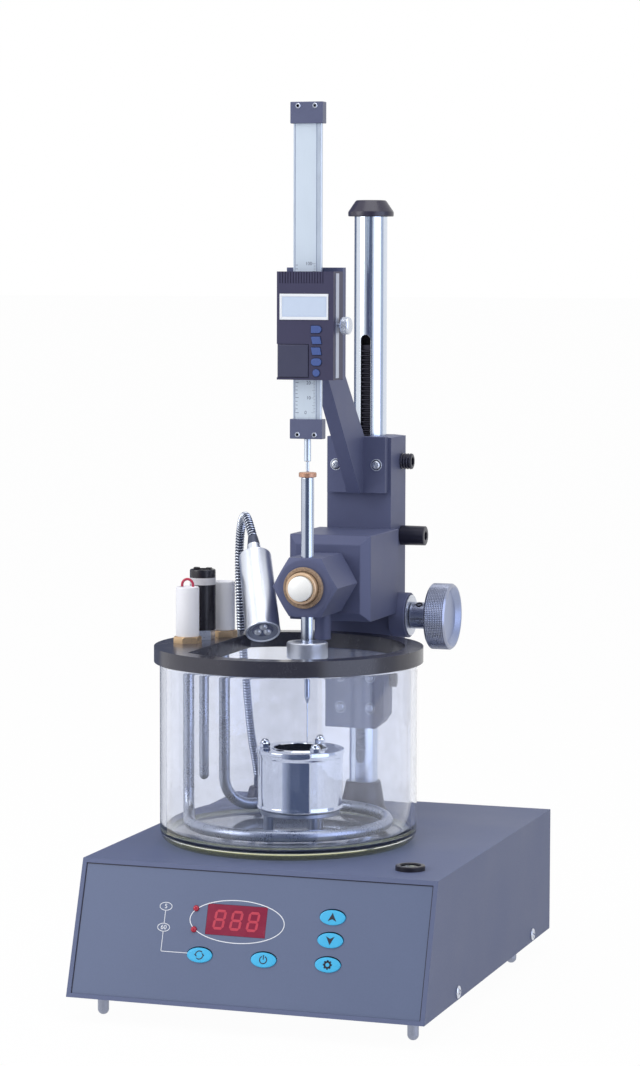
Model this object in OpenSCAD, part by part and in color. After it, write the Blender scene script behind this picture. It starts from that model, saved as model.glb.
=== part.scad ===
// Bitumen penetrometer. A needle on a sliding plunger hangs over a heated glass bath.
// A rack-and-pinion slide on a column carries it above a sloping control box.
// Millimetres. The bench is z = 0 and the operator stands on the -Y side. The column,
// the head and the needle share the plane x = 0.

/* [Control box] */
// Width of the box
base_w = 246; // [230:1:280]
// Depth of the box at its underside
base_depth = 316; // [306:1:350]
// Height of the box without its feet
base_h = 87.5; // [80:0.5:100]
// Height of the underside over the bench
base_clear = 16; // [13:0.5:22]
// Top front edge behind the bottom front edge
panel_setback = 30; // [20:1:34]
// Sheet thickness of the cover
sheet_t = 1.5; // [1:0.1:2]
// Sheet thickness of the bottom tray
tray_t = 1.5; // [1:0.1:2]
// Height of the tray's side flanges
flange_h = 14; // [12:0.5:20]
// Cover screw height over the underside
side_screw_h = 5.5; // [5:0.5:8]
// Front cover screws behind the bottom front edge
side_screw_front_in = 76.3; // [60:0.1:100]
// Cover screw distance from the rear wall
side_screw_rear_in = 49.6; // [30:0.1:80]

/* [Front panel] */
// Thickness of the front panel
panel_t = 2; // [1.5:0.1:2.5]
// Rim round the panel
panel_lip = 3; // [2:0.5:4]
// Panel's depth below that rim
panel_sink = 0.8; // [0.2:0.1:1.2]
// Width of the panel's ledge
panel_ledge = 8; // [6:0.5:9]
// Display window from the middle plane
window_x = -10.75; // [-12:0.25:-8]
// Display window down the slope
window_s = 34.45; // [33:0.05:36]
// Width of the display window
window_w = 41.5; // [38:0.5:42]
// Height of the display window
window_h = 20.3; // [16:0.1:21]
// Length of an oval key
key_w = 17.6; // [15:0.1:19]
// Height of an oval key
key_h = 10; // [8:0.1:11]
// Height of a key over the panel
key_proud = 1; // [0.6:0.1:1.5]
// Travel of a key
key_travel = 0.8; // [0.4:0.1:1]
// Lowest row of keys down the slope
key_row_s = 58; // [57:0.1:62]
// Refresh key from the middle plane
key_refresh_x = -33.3; // [-40:0.1:-30]
// Power key from the middle plane
key_power_x = 10.9; // [5:0.1:15]
// Right column of keys from the middle plane
key_right_x = 54.7; // [50:0.1:70]
// Upper right key down the slope
key_up_s = 27.5; // [26:0.1:29]
// Middle right key down the slope
key_down_s = 42.3; // [41:0.1:44]
// Diameter of an indicator lamp
led_d = 4; // [3:0.1:5]
// Indicator lamps from the middle plane
led_x = -39.4; // [-44:0.1:-37]
// Upper indicator lamp down the slope
led_upper_s = 28.2; // [27:0.1:30]
// Lower indicator lamp down the slope
led_lower_s = 42; // [38:0.1:43]
// Control board below the panel's back
board_depth = 12; // [10:0.5:14]
// Width of the control board
board_w = 160; // [150:1:190]
// Height of the control board down the slope
board_h = 62; // [58:1:64]
// Thickness of the control board
board_t = 1.6; // [1.2:0.1:2]

/* [Feet] */
// Diameter of a foot's knurled disc
foot_d = 20; // [16:0.5:24]
// Thickness of the disc
foot_disc_h = 3.6; // [3:0.1:5]
// Diameter of the round-ended pin
foot_pin_d = 7.5; // [6:0.1:9]
// Diameter of the pin's flat tip
foot_tip_d = 3; // [2:0.5:4]
// Diameter of the stud in the tray
foot_stud_d = 8; // [6:0.5:10]
// Length of the stud above the disc
foot_stud_l = 13; // [11:0.5:18]
// Feet from the sides
foot_side_in = 15.5; // [13:0.5:28]
// Front feet from the bottom front edge
foot_front_in = 27; // [22:0.5:40]
// Rear feet from the rear wall
foot_rear_in = 49; // [30:0.5:60]
// Across flats of the weld nut over each foot
weld_nut_af = 13; // [12:0.5:15]
// Height of the weld nut
weld_nut_h = 6.5; // [5:0.1:8]

/* [Level and power inlet] */
// Outer diameter of the bubble level
level_d = 19.6; // [15:0.1:22]
// Height of the bubble level
level_h = 3.2; // [2.5:0.1:5]
// Diameter of the vial well
level_well_d = 13.5; // [10:0.1:15]
// Depth of the vial well
level_well_depth = 1.2; // [0.8:0.1:2]
// Bubble level from the right side
level_side_in = 28.4; // [23:0.1:43]
// Bubble level behind the top front edge
level_in = 31.3; // [20:0.1:40]
// Inlet module from the middle plane
inlet_x = -62; // [-80:1:-40]
// Width of the inlet module's flange
inlet_w = 32; // [30:0.5:36]
// Height of the inlet module's flange
inlet_h = 64; // [60:0.5:68]
// Height of the flange over the rear wall
inlet_proud = 2; // [1.5:0.5:4]
// Depth of the module in the wall
inlet_depth = 24; // [22:0.5:30]
// Width of the socket recess
socket_w = 24.5; // [23:0.1:26]
// Height of the socket recess
socket_h = 16.5; // [16:0.1:18]
// Depth of the socket recess
socket_depth = 17; // [15:0.5:19]
// Width of a contact blade
blade_w = 4; // [3:0.1:5]
// Thickness of a contact blade
blade_t = 2; // [1.5:0.1:2.5]
// Lower blades from the middle
blade_side = 7; // [6:0.1:8]
// Rise of the earth blade
blade_rise = 4; // [3:0.1:5]
// Width of the rocker
rocker_w = 13.5; // [12:0.1:15]
// Radius of the rocker about its pivot
rocker_r = 10.5; // [9:0.1:11]
// Tilt of the rocker's face
rocker_tilt = 8; // [5:1:10]

/* [Glass bath] */
// Outer diameter of the glass vessel
bath_d = 176; // [170:1:180]
// Wall of the glass vessel
bath_wall = 4; // [3:0.1:5]
// Floor of the glass vessel
bath_floor = 6.5; // [5:0.1:8]
// Radius of the outer heel
heel_r = 8; // [6:0.5:9]
// Radius of the inner heel
inner_heel_r = 6; // [4:0.5:8]
// Height of the glass vessel
bath_h = 123; // [118:0.5:126]
// Bath to the left of the middle plane
bath_left = 17; // [15:0.5:19]
// Bath in front of the column
bath_front = 127.5; // [126:0.5:130]

/* [Bath lid] */
// Diameter of the lid
lid_d = 184; // [181:0.5:186]
// Thickness of the lid
lid_t = 10.5; // [8:0.5:11]
// Diameter of the lid's opening
lid_hole_d = 159; // [154:0.5:162]
// Opening's straight side from its middle
lid_chord = 50; // [46:0.5:56]

/* [Heater, probe and terminals] */
// Diameter of the heater tube
heater_d = 8; // [7:0.1:8.5]
// Radius of the heater ring
heater_ring_r = 68; // [62:0.5:70]
// Heater ring over the bath floor
heater_lift = 7.6; // [6:0.1:10]
// Bend radius of the heater's legs
heater_bend_r = 21; // [18:0.5:24]
// Angle where the ring starts
heater_start = 204; // [200:1:206]
// Angle where the ring ends, one turn on
heater_end = 492; // [490:1:494]
// Diameter of the temperature probe
probe_d = 7; // [6:0.1:7.5]
// Length of the probe below the lid
probe_l = 88; // [60:1:95]
// Angle of the probe on the lid
probe_angle = 166.5; // [165:0.5:168]
// Across flats of a terminal nut
terminal_nut_af = 17; // [14:0.5:17]
// Height of a terminal nut
terminal_nut_h = 4.4; // [4:0.1:6]
// Diameter of the insulating sleeves
sleeve_d = 16; // [12:0.1:16.4]
// Top of a sleeve over the lid
sleeve_top = 38.7; // [30:0.1:42]
// Depth of a sleeve's bore
sleeve_bore_depth = 12; // [10:0.5:20]
// Height of the wire bridge
wire_h = 6; // [4:0.1:8]
// Diameter of the wire
wire_d = 1.8; // [1.2:0.1:2.2]
// Across flats of the probe's nut
probe_nut_af = 15; // [13:0.5:16]
// Height of the probe's nut
probe_nut_h = 6.4; // [5:0.1:8]
// Diameter of the probe's black head
probe_head_d = 18; // [14:0.1:18]
// Top of the probe head over the lid
probe_head_top = 48.7; // [40:0.1:52]

/* [Sample cup] */
// Outer diameter of the cup
cup_d = 58.5; // [50:0.5:60]
// Wall of the cup
cup_wall = 2; // [1.5:0.1:3]
// Height of the cup without its lid
cup_h = 39; // [30:0.5:40]
// Diameter of the cup's lid
cup_lid_d = 60; // [58:0.5:64]
// Thickness of the cup's lid
cup_lid_t = 2.5; // [2:0.1:3]
// Hole in the cup's lid
cup_hole_d = 35.6; // [34:0.1:37]
// Cup to the left of the needle
cup_left = 5; // [3:0.5:7]
// Radius of the ring of acorn nuts
acorn_ring_r = 24; // [23:0.1:25]
// Across flats of an acorn nut
acorn_af = 6.3; // [5.5:0.1:7]
// Height of an acorn nut
acorn_h = 6.5; // [5:0.1:8]
// Angle of the first acorn nut
acorn_first = 74; // [60:1:90]
// Height of the three-legged stand
stand_h = 17.2; // [15:0.1:20]
// Outer diameter of the stand's ring
stand_d = 54; // [48:0.5:56]
// Inner diameter of the stand's ring
stand_hole_d = 32; // [28:0.5:36]
// Thickness of the stand's ring
stand_t = 3; // [2:0.1:4]
// Diameter of a stand leg
stand_leg_d = 7; // [5:0.1:8]

/* [Column] */
// Diameter of the column
column_d = 23.5; // [22:0.1:24]
// Column behind the middle of the box
column_y = 108.5; // [107:0.5:112]
// Column's top over the box
column_h = 427.5; // [425:0.5:440]
// Width of the slot in the column's front
slot_w = 7.2; // [7:0.1:7.6]
// Depth of the slot
slot_depth = 7.4; // [7.2:0.1:8]
// Bottom of the slot over the box
slot_bottom = 36.5; // [30:0.5:40]
// Top of the slot over the box
slot_top = 343.5; // [335:0.5:350]
// Diameter of the cap's brim
cap_d = 32.5; // [28:0.5:36]
// Thickness of the cap's brim
cap_brim_h = 3; // [2:0.1:4]
// Diameter of the cap's flat top
cap_top_d = 21; // [16:0.5:24]
// Height of the cap
cap_h = 11.5; // [8:0.5:14]
// Diameter of the column socket's flange
socket_flange_d = 40; // [34:0.5:40]
// Thickness of the flange
socket_flange_h = 2.5; // [2:0.1:4]
// Lower diameter of the socket's taper
socket_low_d = 38; // [32:0.5:39]
// Upper diameter of the socket's taper
socket_top_d = 28.5; // [27:0.5:30]
// Height of the socket
column_socket_h = 22.5; // [18:0.5:26]

/* [Rack and pinion] */
// Module of the teeth
tooth_module = 1; // [0.96:0.01:1.02]
// Teeth on the pinion
pinion_teeth = 12; // [12:1:12]
// Face width of the pinion
pinion_w = 6.4; // [5:0.1:6.5]
// Width of the rack
rack_w = 6.8; // [5:0.1:6.9]
// Play between meshing flanks
backlash = 0.24; // [0.2:0.01:0.3]
// Pinion shaft over the lift body's bottom
pinion_h = 81; // [76:0.5:84]
// Diameter of the pinion shaft
shaft_d = 8; // [7:0.1:8.5]

/* [Knob] */
// Diameter of the knob
knob_d = 47; // [40:0.5:50]
// Thickness of the knob
knob_t = 15.5; // [12:0.5:18]
// Depth of the knob's dished face
dish_depth = 3.5; // [2:0.1:5]
// Diameter of the knob's dish
dish_d = 41; // [34:0.5:42]
// Ridges round the knob
knob_ridges = 90; // [60:1:120]
// Depth of a ridge
ridge_depth = 0.5; // [0.3:0.1:0.8]
// Diameter of the knob's hub
hub_d = 19; // [16:0.5:24]
// Length of the knob's hub
hub_l = 14.6; // [12:0.1:18]
// Diameter of the washer behind the hub
washer_d = 29; // [24:0.5:30]
// Thickness of the washer
washer_t = 1.1; // [0.8:0.1:1.5]
// Diameter of the shaft bearing's boss
bearing_d = 32; // [29:0.5:34]
// Length of the bearing's boss
bearing_l = 12.95; // [10:0.05:14]

/* [Lift body] */
// Width of the body
body_w = 47.5; // [44:0.5:52]
// Height of the body
body_h = 207.5; // [200:0.5:215]
// Bottom of the body over the box
body_bottom = 64; // [62:0.5:68]
// Body's front face from the column's middle
body_front = 25.5; // [25:0.1:26.5]
// Body's rear face from the column's middle
body_rear = 21.5; // [20:0.1:24]
// Chamfer of the rear corners
body_chamfer = 12; // [8:0.5:13]
// Chamfer of the bottom right corner
body_foot_chamfer = 7.5; // [4:0.5:9]
// Diameter of a pan-head screw
pan_d = 7; // [6:0.1:8]
// Height of a pan head
pan_h = 2.2; // [1.6:0.1:3]
// Body screws from the middle plane
body_screw_x = 12; // [10:0.5:14]
// Lower body screws over the body's bottom
body_screw_low = 14.5; // [12:0.5:16]
// Spacing of the two rows of body screws
body_screw_gap = 22.5; // [18:0.5:26]
// Diameter of the two adjusting screws
adjuster_d = 11.4; // [9:0.1:12]
// Length of the adjusting screws' heads
adjuster_l = 8.25; // [6:0.05:10]
// Upper adjusting screw over the body's bottom
adjuster_high = 189.5; // [180:0.5:194]
// Lower adjusting screw over the body's bottom
adjuster_low = 33; // [28:0.5:40]
// Diameter of the slide clamp
clamp_d = 14.2; // [12:0.1:16]
// Length of the slide clamp's head
clamp_l = 18.25; // [14:0.05:22]
// Slide clamp over the body's bottom
clamp_high = 136.5; // [132:0.5:142]
// Across flats of these screws' sockets
hex_key_af = 6; // [4:0.5:6]
// Thread diameter of the side screws
side_thread_d = 6; // [5:0.1:8]

/* [Head] */
// Width of the block
block_w = 59; // [54:0.5:62]
// Length of the block
block_l = 70; // [66:0.5:72]
// Height of the block
block_h = 59.5; // [56:0.5:62]
// Head block over the lift body's bottom
block_bottom = 83.5; // [81:0.5:86]
// Chamfer round the block's front
block_chamfer = 6; // [3:0.5:8]
// Across flats of the hexagonal head
hex_af = 40; // [37:0.5:42]
// Length of the hexagonal head
hex_l = 45.8; // [44:0.1:48]
// Axis of the hexagonal head over the block's bottom
hex_high = 28; // [26:0.5:30]
// Diameter of the head's flat front
hex_face_d = 36; // [34:0.5:38]
// Length of the head's front chamfer
hex_turn_l = 2.6; // [1.5:0.1:4]
// Diameter of the head's neck
neck_d = 38; // [34:0.5:39]
// Length of that neck
neck_l = 4; // [3:0.5:6]
// Diameter of the guide post under the head
post_d = 11.5; // [9:0.5:12]
// Length of the guide post below the head
post_l = 19; // [14:0.5:20]
// Guide post behind the needle
post_back = 32.5; // [30:0.5:34]

/* [Release button] */
// Diameter of the knurled ring
ring_d = 28.4; // [26:0.1:32]
// Thickness of the knurled ring
ring_t = 2.6; // [2:0.1:4]
// Diameter of the collar
collar_d = 21.5; // [19.5:0.1:24]
// How far the collar stands out of the ring
collar_l = 4.4; // [3:0.1:6]
// Diameter of the button
button_d = 17; // [16.4:0.1:18]
// How far the button stands out of the collar
button_proud = 5.2; // [4:0.1:7]
// Radius of the button's dome
dome_r = 14; // [11:0.5:20]
// Travel of the button
button_travel = 2.5; // [1.5:0.1:3]
// Diameter of the button's spindle
spindle_d = 14; // [13:0.1:14.6]
// Spindle's end behind the needle
spindle_rear = 12; // [10:0.5:14]
// Wire diameter of the button's spring
spring_wire_d = 1.1; // [0.8:0.1:1.4]
// Length of the spring
spring_l = 12; // [10:0.5:14]

/* [Plunger] */
// Diameter of the plunger rod
rod_d = 8.7; // [7:0.1:9]
// Top of the rod over the head's axis
rod_top = 74.4; // [66:0.1:80]
// Diameter of the rod's cap
rod_cap_d = 12; // [10:0.1:14]
// Thickness of the rod's cap
rod_cap_h = 3.4; // [2:0.1:5]
// Diameter of the weight
weight_d = 28; // [24:0.1:32]
// Height of the weight
weight_h = 11.2; // [9:0.1:13]
// Chamfer of the weight's edges
weight_chamfer = 0.8; // [0.3:0.1:1.5]
// Top of the weight below the head's axis
weight_drop = 37.4; // [34:0.1:40]
// Length of the rod below the weight
stub_l = 2.6; // [2:0.1:5]
// Diameter of the needle's ferrule
ferrule_d = 3.9; // [3:0.1:5]
// Straight length of the ferrule
ferrule_l = 23.8; // [20:0.1:28]
// Tapered length of the ferrule
ferrule_taper = 4.2; // [3:0.1:6]
// Diameter of the needle
needle_d = 1; // [0.9:0.01:1.1]
// Length of the needle below its ferrule
needle_l = 28.7; // [24:0.1:32]
// Length of the needle's tapered point
needle_point_l = 6.35; // [5:0.05:8]
// Diameter of the needle's flat end
needle_end_d = 0.15; // [0.1:0.01:0.2]
// Needle in front of the lift body
needle_reach = 112.5; // [110:0.5:114]

/* [Scale bracket] */
// Width of the bracket's foot plate
plate_w = 43; // [40:0.5:46]
// Thickness of the foot plate
plate_t = 7; // [5:0.5:9]
// Height of the foot plate
plate_h = 39.7; // [36:0.1:44]
// Foot plate over the lift body's top
plate_over = 0.7; // [0.2:0.1:2]
// Plate screws from the middle plane
plate_screw_x = 15; // [13:0.5:17]
// Width of the inclined arm
arm_w = 10; // [8:0.5:12]
// Slope of the arm's lower edge
arm_low_slope = 1.151; // [1.1:0.001:1.2]
// Slope of the arm's upper edge
arm_high_slope = 1.0155; // [0.98:0.0005:1.05]
// Thickness of the bracket's head plate
head_plate_t = 6.5; // [5:0.5:8]
// Head plate in front of the foot plate
head_plate_reach = 97.5; // [96:0.5:99]
// Head plate over the foot plate's top
head_plate_rise = 43.3; // [42:0.1:45]
// Height of the head plate
head_plate_h = 75.5; // [72:0.5:78]
// Width of the head plate
head_plate_w = 40; // [36:0.5:44]

/* [Scale head] */
// Width of the scale head
scale_w = 40; // [38:0.5:42]
// Shift of the scale head to the right
scale_shift = 2; // [1:0.5:3]
// Height of the scale head
scale_h = 72.4; // [70:0.1:75]
// Depth of the scale head
scale_depth = 20; // [18:0.5:22]
// Scale head over the head plate's bottom
scale_bottom = 0.4; // [0:0.1:2]
// Height of the ribbed strip at the top
strip_h = 7.9; // [6:0.1:9]
// Grooves in that strip
strip_grooves = 17; // [10:1:18]
// Spacing of the grooves
groove_pitch = 1.9; // [1.6:0.1:2]
// Depth of a groove
groove_depth = 0.6; // [0.3:0.1:1]
// Width of the bezel round the display
bezel_w = 34.5; // [32:0.1:36]
// Height of the bezel
bezel_h = 17.5; // [16:0.1:18.5]
// Bezel over the head's bottom
bezel_bottom = 40.1; // [39:0.1:41]
// Width of the display glass
lcd_w = 31.7; // [29:0.1:32]
// Height of the display glass
lcd_h = 13.6; // [12:0.1:14]
// How far the bezel stands out
bezel_proud = 0.6; // [0.3:0.1:1]
// Depth of the bezel in the head
bezel_depth = 1.4; // [1:0.1:2]
// Small keys from the head's right side
small_key_in = 12; // [10:0.1:14]
// Top small key over the head's bottom
small_key_top = 33.8; // [33:0.1:35]
// Spacing of the small keys
small_key_gap = 7.25; // [7:0.05:7.3]
// Width of a small key
small_key_w = 7.4; // [6:0.1:8]
// Height of a small key
small_key_h = 5; // [4:0.1:5.6]
// How far a small key stands out
small_key_proud = 0.8; // [0.5:0.1:1.2]
// Travel of a small key
small_key_travel = 0.5; // [0.3:0.1:0.7]
// Width of the battery cover
cover_w = 21.2; // [18:0.1:21.5]
// Height of the battery cover
cover_h = 21.8; // [19:0.1:23]
// Battery cover over the head's bottom
cover_bottom = 1.8; // [1:0.1:3]
// How far the battery cover stands out
cover_proud = 0.8; // [0.4:0.1:1.2]
// Thickness of the battery cover
cover_t = 2; // [1.6:0.1:2.4]
// Rim left of the battery cover
cover_rim = 1.1; // [0.8:0.1:2]
// Diameter of the thumbscrew
thumb_d = 11.8; // [9:0.1:13]
// Thickness of the thumbscrew's head
thumb_t = 6.2; // [5:0.1:8]
// Length of the thumbscrew's neck
thumb_neck_l = 2; // [1:0.1:3]
// Diameter of the thumbscrew's thread
thumb_thread_d = 3; // [2.5:0.1:3.2]
// Thumbscrew over the head's bottom
thumb_high = 36.3; // [30:0.1:44]

/* [Scale beam] */
// Width of the beam
beam_w = 19.8; // [18:0.1:20.4]
// Thickness of the beam
beam_t = 3.5; // [3:0.1:4]
// Beam behind the scale head's front
beam_in = 10; // [9:0.1:11]
// Width of an end block
end_w = 23; // [21:0.1:25]
// Thickness of an end block
end_t = 8; // [6:0.1:9]
// Height of the lower end block
low_end_h = 13.3; // [11:0.1:14]
// Height of the upper end block
high_end_h = 14.4; // [12:0.1:18]
// Length over both end blocks
beam_l = 225.4; // [218:0.1:230]
// Diameter of the depth stem
stem_d = 4.6; // [4:0.1:6]
// Length of the thick part of the stem
stem_l = 15.3; // [12:0.1:18]
// Diameter of the stem's tip
stem_tip_d = 2.2; // [1.5:0.1:3]
// Length of the stem's tip
stem_tip_l = 7; // [5:0.1:9]

/* [Lamp] */
// Diameter of the gooseneck
neck_tube_d = 6.5; // [5:0.1:7]
// Bore of the gooseneck
neck_bore_d = 3; // [2:0.1:3.4]
// Ribs along the gooseneck
neck_ribs = 110; // [80:1:120]
// Depth of a rib
rib_depth = 0.35; // [0.2:0.05:0.5]
// Diameter of the lamp's socket on the box
lamp_socket_d = 18; // [14:0.5:22]
// Height of the lamp's socket
lamp_socket_h = 10; // [8:0.5:14]
// Length of the lamp head
lamp_l = 64.5; // [55:0.5:68]
// Rear diameter of the lamp head
lamp_rear_d = 22.7; // [20:0.1:24]
// Front diameter of the lamp head
lamp_front_d = 24.2; // [22:0.1:25]
// Length of the lamp's ferrule
lamp_ferrule_l = 9; // [7:0.5:12]
// Front diameter of the lamp's ferrule
lamp_ferrule_d = 10; // [8:0.1:12]
// Depth of the recess in the lamp's front
lamp_recess = 3.6; // [2.5:0.1:5]
// Wall round the lamp's lens
lamp_rim = 1.6; // [1:0.1:2.5]
// Thickness of the lens
lens_t = 2; // [1.5:0.1:2.4]

/* [Hidden] */
$fn = 64;

// Overrun of cuts
over = 1;
// Gap under a piece that rests on another
rest_gap = 0.3;
// Radial clearance of shafts and slides
slide_fit = 0.08;
// Gap round a key or a cover in its opening
key_gap = 0.3;
// Clearance of a piece let into its own group
seat_fit = 0.1;

// Places from the control box
slope_l = sqrt(pow(panel_setback, 2) + pow(base_h, 2));
panel_tilt = atan(panel_setback / base_h);
base_front_y = -(base_depth + inlet_proud) / 2;
base_rear_y = base_front_y + base_depth;
base_top = base_clear + base_h;
top_front_y = base_front_y + panel_setback;
front_wall = panel_sink + panel_t + sheet_t;
screw_thread_d = 4;
screw_hole_d = screw_thread_d + 2 * seat_fit;
side_head_d = 8.4;
side_head_h = 1.5;
side_screw_l = 5;
side_screw_ys = [base_front_y + side_screw_front_in, base_rear_y - side_screw_rear_in];
foot_x = base_w / 2 - foot_side_in;
level_x = base_w / 2 - level_side_in;
foot_round = sqrt(pow(foot_pin_d, 2) - pow(foot_tip_d, 2)) / 2;
foot_ys = [base_front_y + foot_front_in, base_rear_y - foot_rear_in];

// Keys on the panel
key_flange = 1.2;
key_flange_t = 1;
led_ss = [led_upper_s, led_lower_s];
board_post_d = 5;
board_post_in = 4;
key_switch_w = 6;
display_can_h = board_depth - sheet_t;

// Inlet module
inlet_z = base_clear + base_h / 2;
inlet_body_w = inlet_w - 4 * sheet_t;
inlet_body_h = inlet_h - 4 * sheet_t;
socket_z = inlet_z - inlet_h / 4 + sheet_t;
rocker_z = inlet_z + inlet_h / 4;
blade_l = socket_depth - 3 * sheet_t;
rocker_face = 1.5;
rocker_pivot_y = base_rear_y + inlet_proud - rocker_r * sin(2 * rocker_tilt) - rocker_face;
rocker_well_depth = rocker_r + inlet_proud + sheet_t;
rocker_axle_d = 3;
axle_l = 2;

// Glass bath and what stands in it
bath_r = bath_d / 2;
bath_x = -bath_left;
bath_y = column_y - bath_front;
bath_floor_z = base_top + bath_floor;
bath_top = base_top + bath_h;
lid_z = bath_top + rest_gap;
lid_top = lid_z + lid_t;
heater_z = bath_floor_z + heater_lift;
probe_r = 71;
leg_top = sleeve_bore_depth - 5 * rest_gap;
// The heater's two legs in the bath
start_leg = heater_leg(heater_start, -1);
end_leg = heater_leg(heater_end, 1);
function heater_leg(a, turn) = [
    heater_ring_r * cos(a) - turn * heater_bend_r * sin(a),
    heater_ring_r * sin(a) + turn * heater_bend_r * cos(a)];
probe_place = [probe_r * cos(probe_angle), probe_r * sin(probe_angle)];
leg_hole_d = heater_d + 2 * seat_fit;
probe_hole_d = probe_d + 2 * seat_fit;
cap_tab_h = 1.2;
cap_tab_w = 4;

// Column, lift body and pinion
body_front_y = column_y - body_front;
body_rear_y = column_y + body_rear;
body_z = base_top + body_bottom;
body_top = body_z + body_h;
slot_back_y = column_y - column_d / 2 + slot_depth;
pinion_r = tooth_module * pinion_teeth / 2;
tip_r = pinion_r + tooth_module;
dedendum_share = 1.25;
dedendum = dedendum_share * tooth_module;
root_r = pinion_r - dedendum;
pressure_angle = 20;
pitch = PI * tooth_module;
// Thickness of the rack behind its teeth
rack_back_t = 3.9;
rack_pitch_y = slot_back_y - rack_back_t - dedendum;
pinion_y = rack_pitch_y - pinion_r;
pinion_z = body_z + pinion_h;
rack_low = base_top + slot_bottom + slot_w;
rack_high = base_top + slot_top - slot_w;
pinion_room = 0.6;
shaft_left_l = 15;
shaft_right_end = body_w / 2 + bearing_l + rest_gap + hub_l + knob_t - 2 * dish_depth;
spigot_d = 2 * (tip_r + tooth_module);
spigot_l = body_w / 2 - column_d / 2;
shaft_bore_d = shaft_d + 2 * slide_fit;
thread_reach = body_w / 2 - column_d / 2 - rest_gap;

// Head, release button and plunger
block_front_y = body_front_y - block_l;
block_z = body_z + block_bottom;
hex_z = block_z + hex_high;
hex_rear_y = block_front_y - neck_l;
hex_front_y = hex_rear_y - hex_l;
needle_y = body_front_y - needle_reach;
ring_front_y = hex_front_y - ring_t;
collar_front_y = ring_front_y - collar_l;
button_front_y = collar_front_y - button_proud;
button_rear_y = button_front_y + button_proud + collar_l / 2;
spindle_end_y = needle_y + spindle_rear;
spring_seat_y = spindle_end_y + spring_l;
rod_top_z = hex_z + rod_top;
weight_top = hex_z - weight_drop;
weight_z = weight_top - weight_h;
stub_z = weight_z - stub_l;
ferrule_low = stub_z - ferrule_l - ferrule_taper;
needle_tip = ferrule_low - needle_l;
cup_x = -cup_left;
stand_top = bath_floor_z + stand_h;
cup_z = stand_top + rest_gap;

// Bracket and digital scale
plate_top = body_top + plate_over;
plate_z = plate_top - plate_h;
plate_front_y = body_front_y - plate_t;
head_plate_y = plate_front_y - head_plate_reach;
head_plate_back_y = head_plate_y + head_plate_t;
arm_low_in = 5.3;
arm_high_in = 4;
arm_low_y = plate_front_y - arm_low_in;
arm_high_y = plate_front_y + arm_high_in;
head_plate_z = plate_top + head_plate_rise;
scale_x = scale_shift;
scale_z = head_plate_z + scale_bottom;
scale_front_y = head_plate_y - scale_depth;
bezel_in = 2;
bezel_x = scale_x - scale_w / 2 + bezel_in + bezel_w / 2;
lcd_shift = 0.3;
small_key_x = scale_x + scale_w / 2 - small_key_in;
small_key_depth = 2.4;
cover_x = scale_x - scale_w / 2 + cover_rim + cover_w / 2;
beam_front_y = scale_front_y + beam_in;
beam_mid_y = beam_front_y + beam_t / 2;
stem_top = rod_top_z + rod_cap_h + rest_gap + stem_tip_l + stem_l;
beam_top = stem_top + beam_l;
end_inset = 5;
thumb_z = scale_z + thumb_high;
thumb_ridges = 30;

// Lamp
lamp_foot = [-94, 129];
neck_straight = 7.5;
// Direction in which the lamp points, as a unit vector
lamp_dir = [0.305, -0.589, -0.748] / norm([0.305, -0.589, -0.748]);
lamp_start = [-53.6, 14.2, 294.4];
neck_end = lamp_start - lamp_ferrule_l * lamp_dir;
// The gooseneck's route, from the socket to the lamp
neck_route = [
    [lamp_foot[0], lamp_foot[1], base_top + lamp_socket_h],
    [lamp_foot[0], lamp_foot[1], base_top + lamp_socket_h + neck_straight],
    [-92, 107, 160],
    [-89, 88, 205],
    [-85, 71, 250],
    [-83, 63, 285],
    [-78, 53, 311],
    [-69, 38, 320],
    neck_end - neck_straight * lamp_dir,
    neck_end];
route_steps = 12;

// One point of a smooth curve through four route points, at t from 0 to 1
function spline(p0, p1, p2, p3, t) =
    0.5 * ((2 * p1) + (p2 - p0) * t + (2 * p0 - 5 * p1 + 4 * p2 - p3) * pow(t, 2)
        + (3 * p1 - p0 - 3 * p2 + p3) * pow(t, 3));
// Route point by index, held at both ends
function route(i) = neck_route[min(max(i, 0), len(neck_route) - 1)];
route_points = concat(
    [for (i = [0:len(neck_route) - 2], k = [0:route_steps - 1])
        (i == 0 || i == len(neck_route) - 2)
            ? route(i) + (route(i + 1) - route(i)) * k / route_steps
            : spline(route(i - 1), route(i), route(i + 1), route(i + 2), k / route_steps)],
    [neck_end]);
// Length of the route up to each of its points
function run_length(points, i = 1, total = 0, sums = [0]) =
    i == len(points) ? sums
        : run_length(points, i + 1, total + norm(points[i] - points[i - 1]),
            concat(sums, [total + norm(points[i] - points[i - 1])]));
route_sums = run_length(route_points);
route_l = route_sums[len(route_sums) - 1];
function route_table(axis) = [for (i = [0:len(route_sums) - 1]) [route_sums[i], route_points[i][axis]]];
route_tables = [route_table(0), route_table(1), route_table(2)];
// Place on the route at a distance from its start
function along_route(s) = [for (axis = [0:2]) lookup(s, route_tables[axis])];
function unit(v) = v / norm(v);
// Direction of the route at a distance from its start
function heading(s) = s < neck_straight ? unit(route(1) - route(0))
    : s > route_l - neck_straight ? lamp_dir
    : unit(along_route(s + neck_bore_d / 2) - along_route(s - neck_bore_d / 2));
// Ring of points square to the route
function ring_at(s, r, n) = let (t = heading(s), u = unit(cross([1, 0, 0], t)), v = cross(t, u))
    [for (k = [0:n - 1]) along_route(s) + r * (cos(360 * k / n) * u + sin(360 * k / n) * v)];

// Shapes that repeat

// Extrudes a (Y, Z) outline along X, w wide
module along_x(w) translate([-w / 2, 0, 0]) rotate([90, 0, 90]) linear_extrude(w) children();

// Rod along X from x0 to x1
module rod_x(x0, x1, y, z, d) translate([x0, y, z]) rotate([0, 90, 0]) cylinder(h = x1 - x0, d = d);

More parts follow.
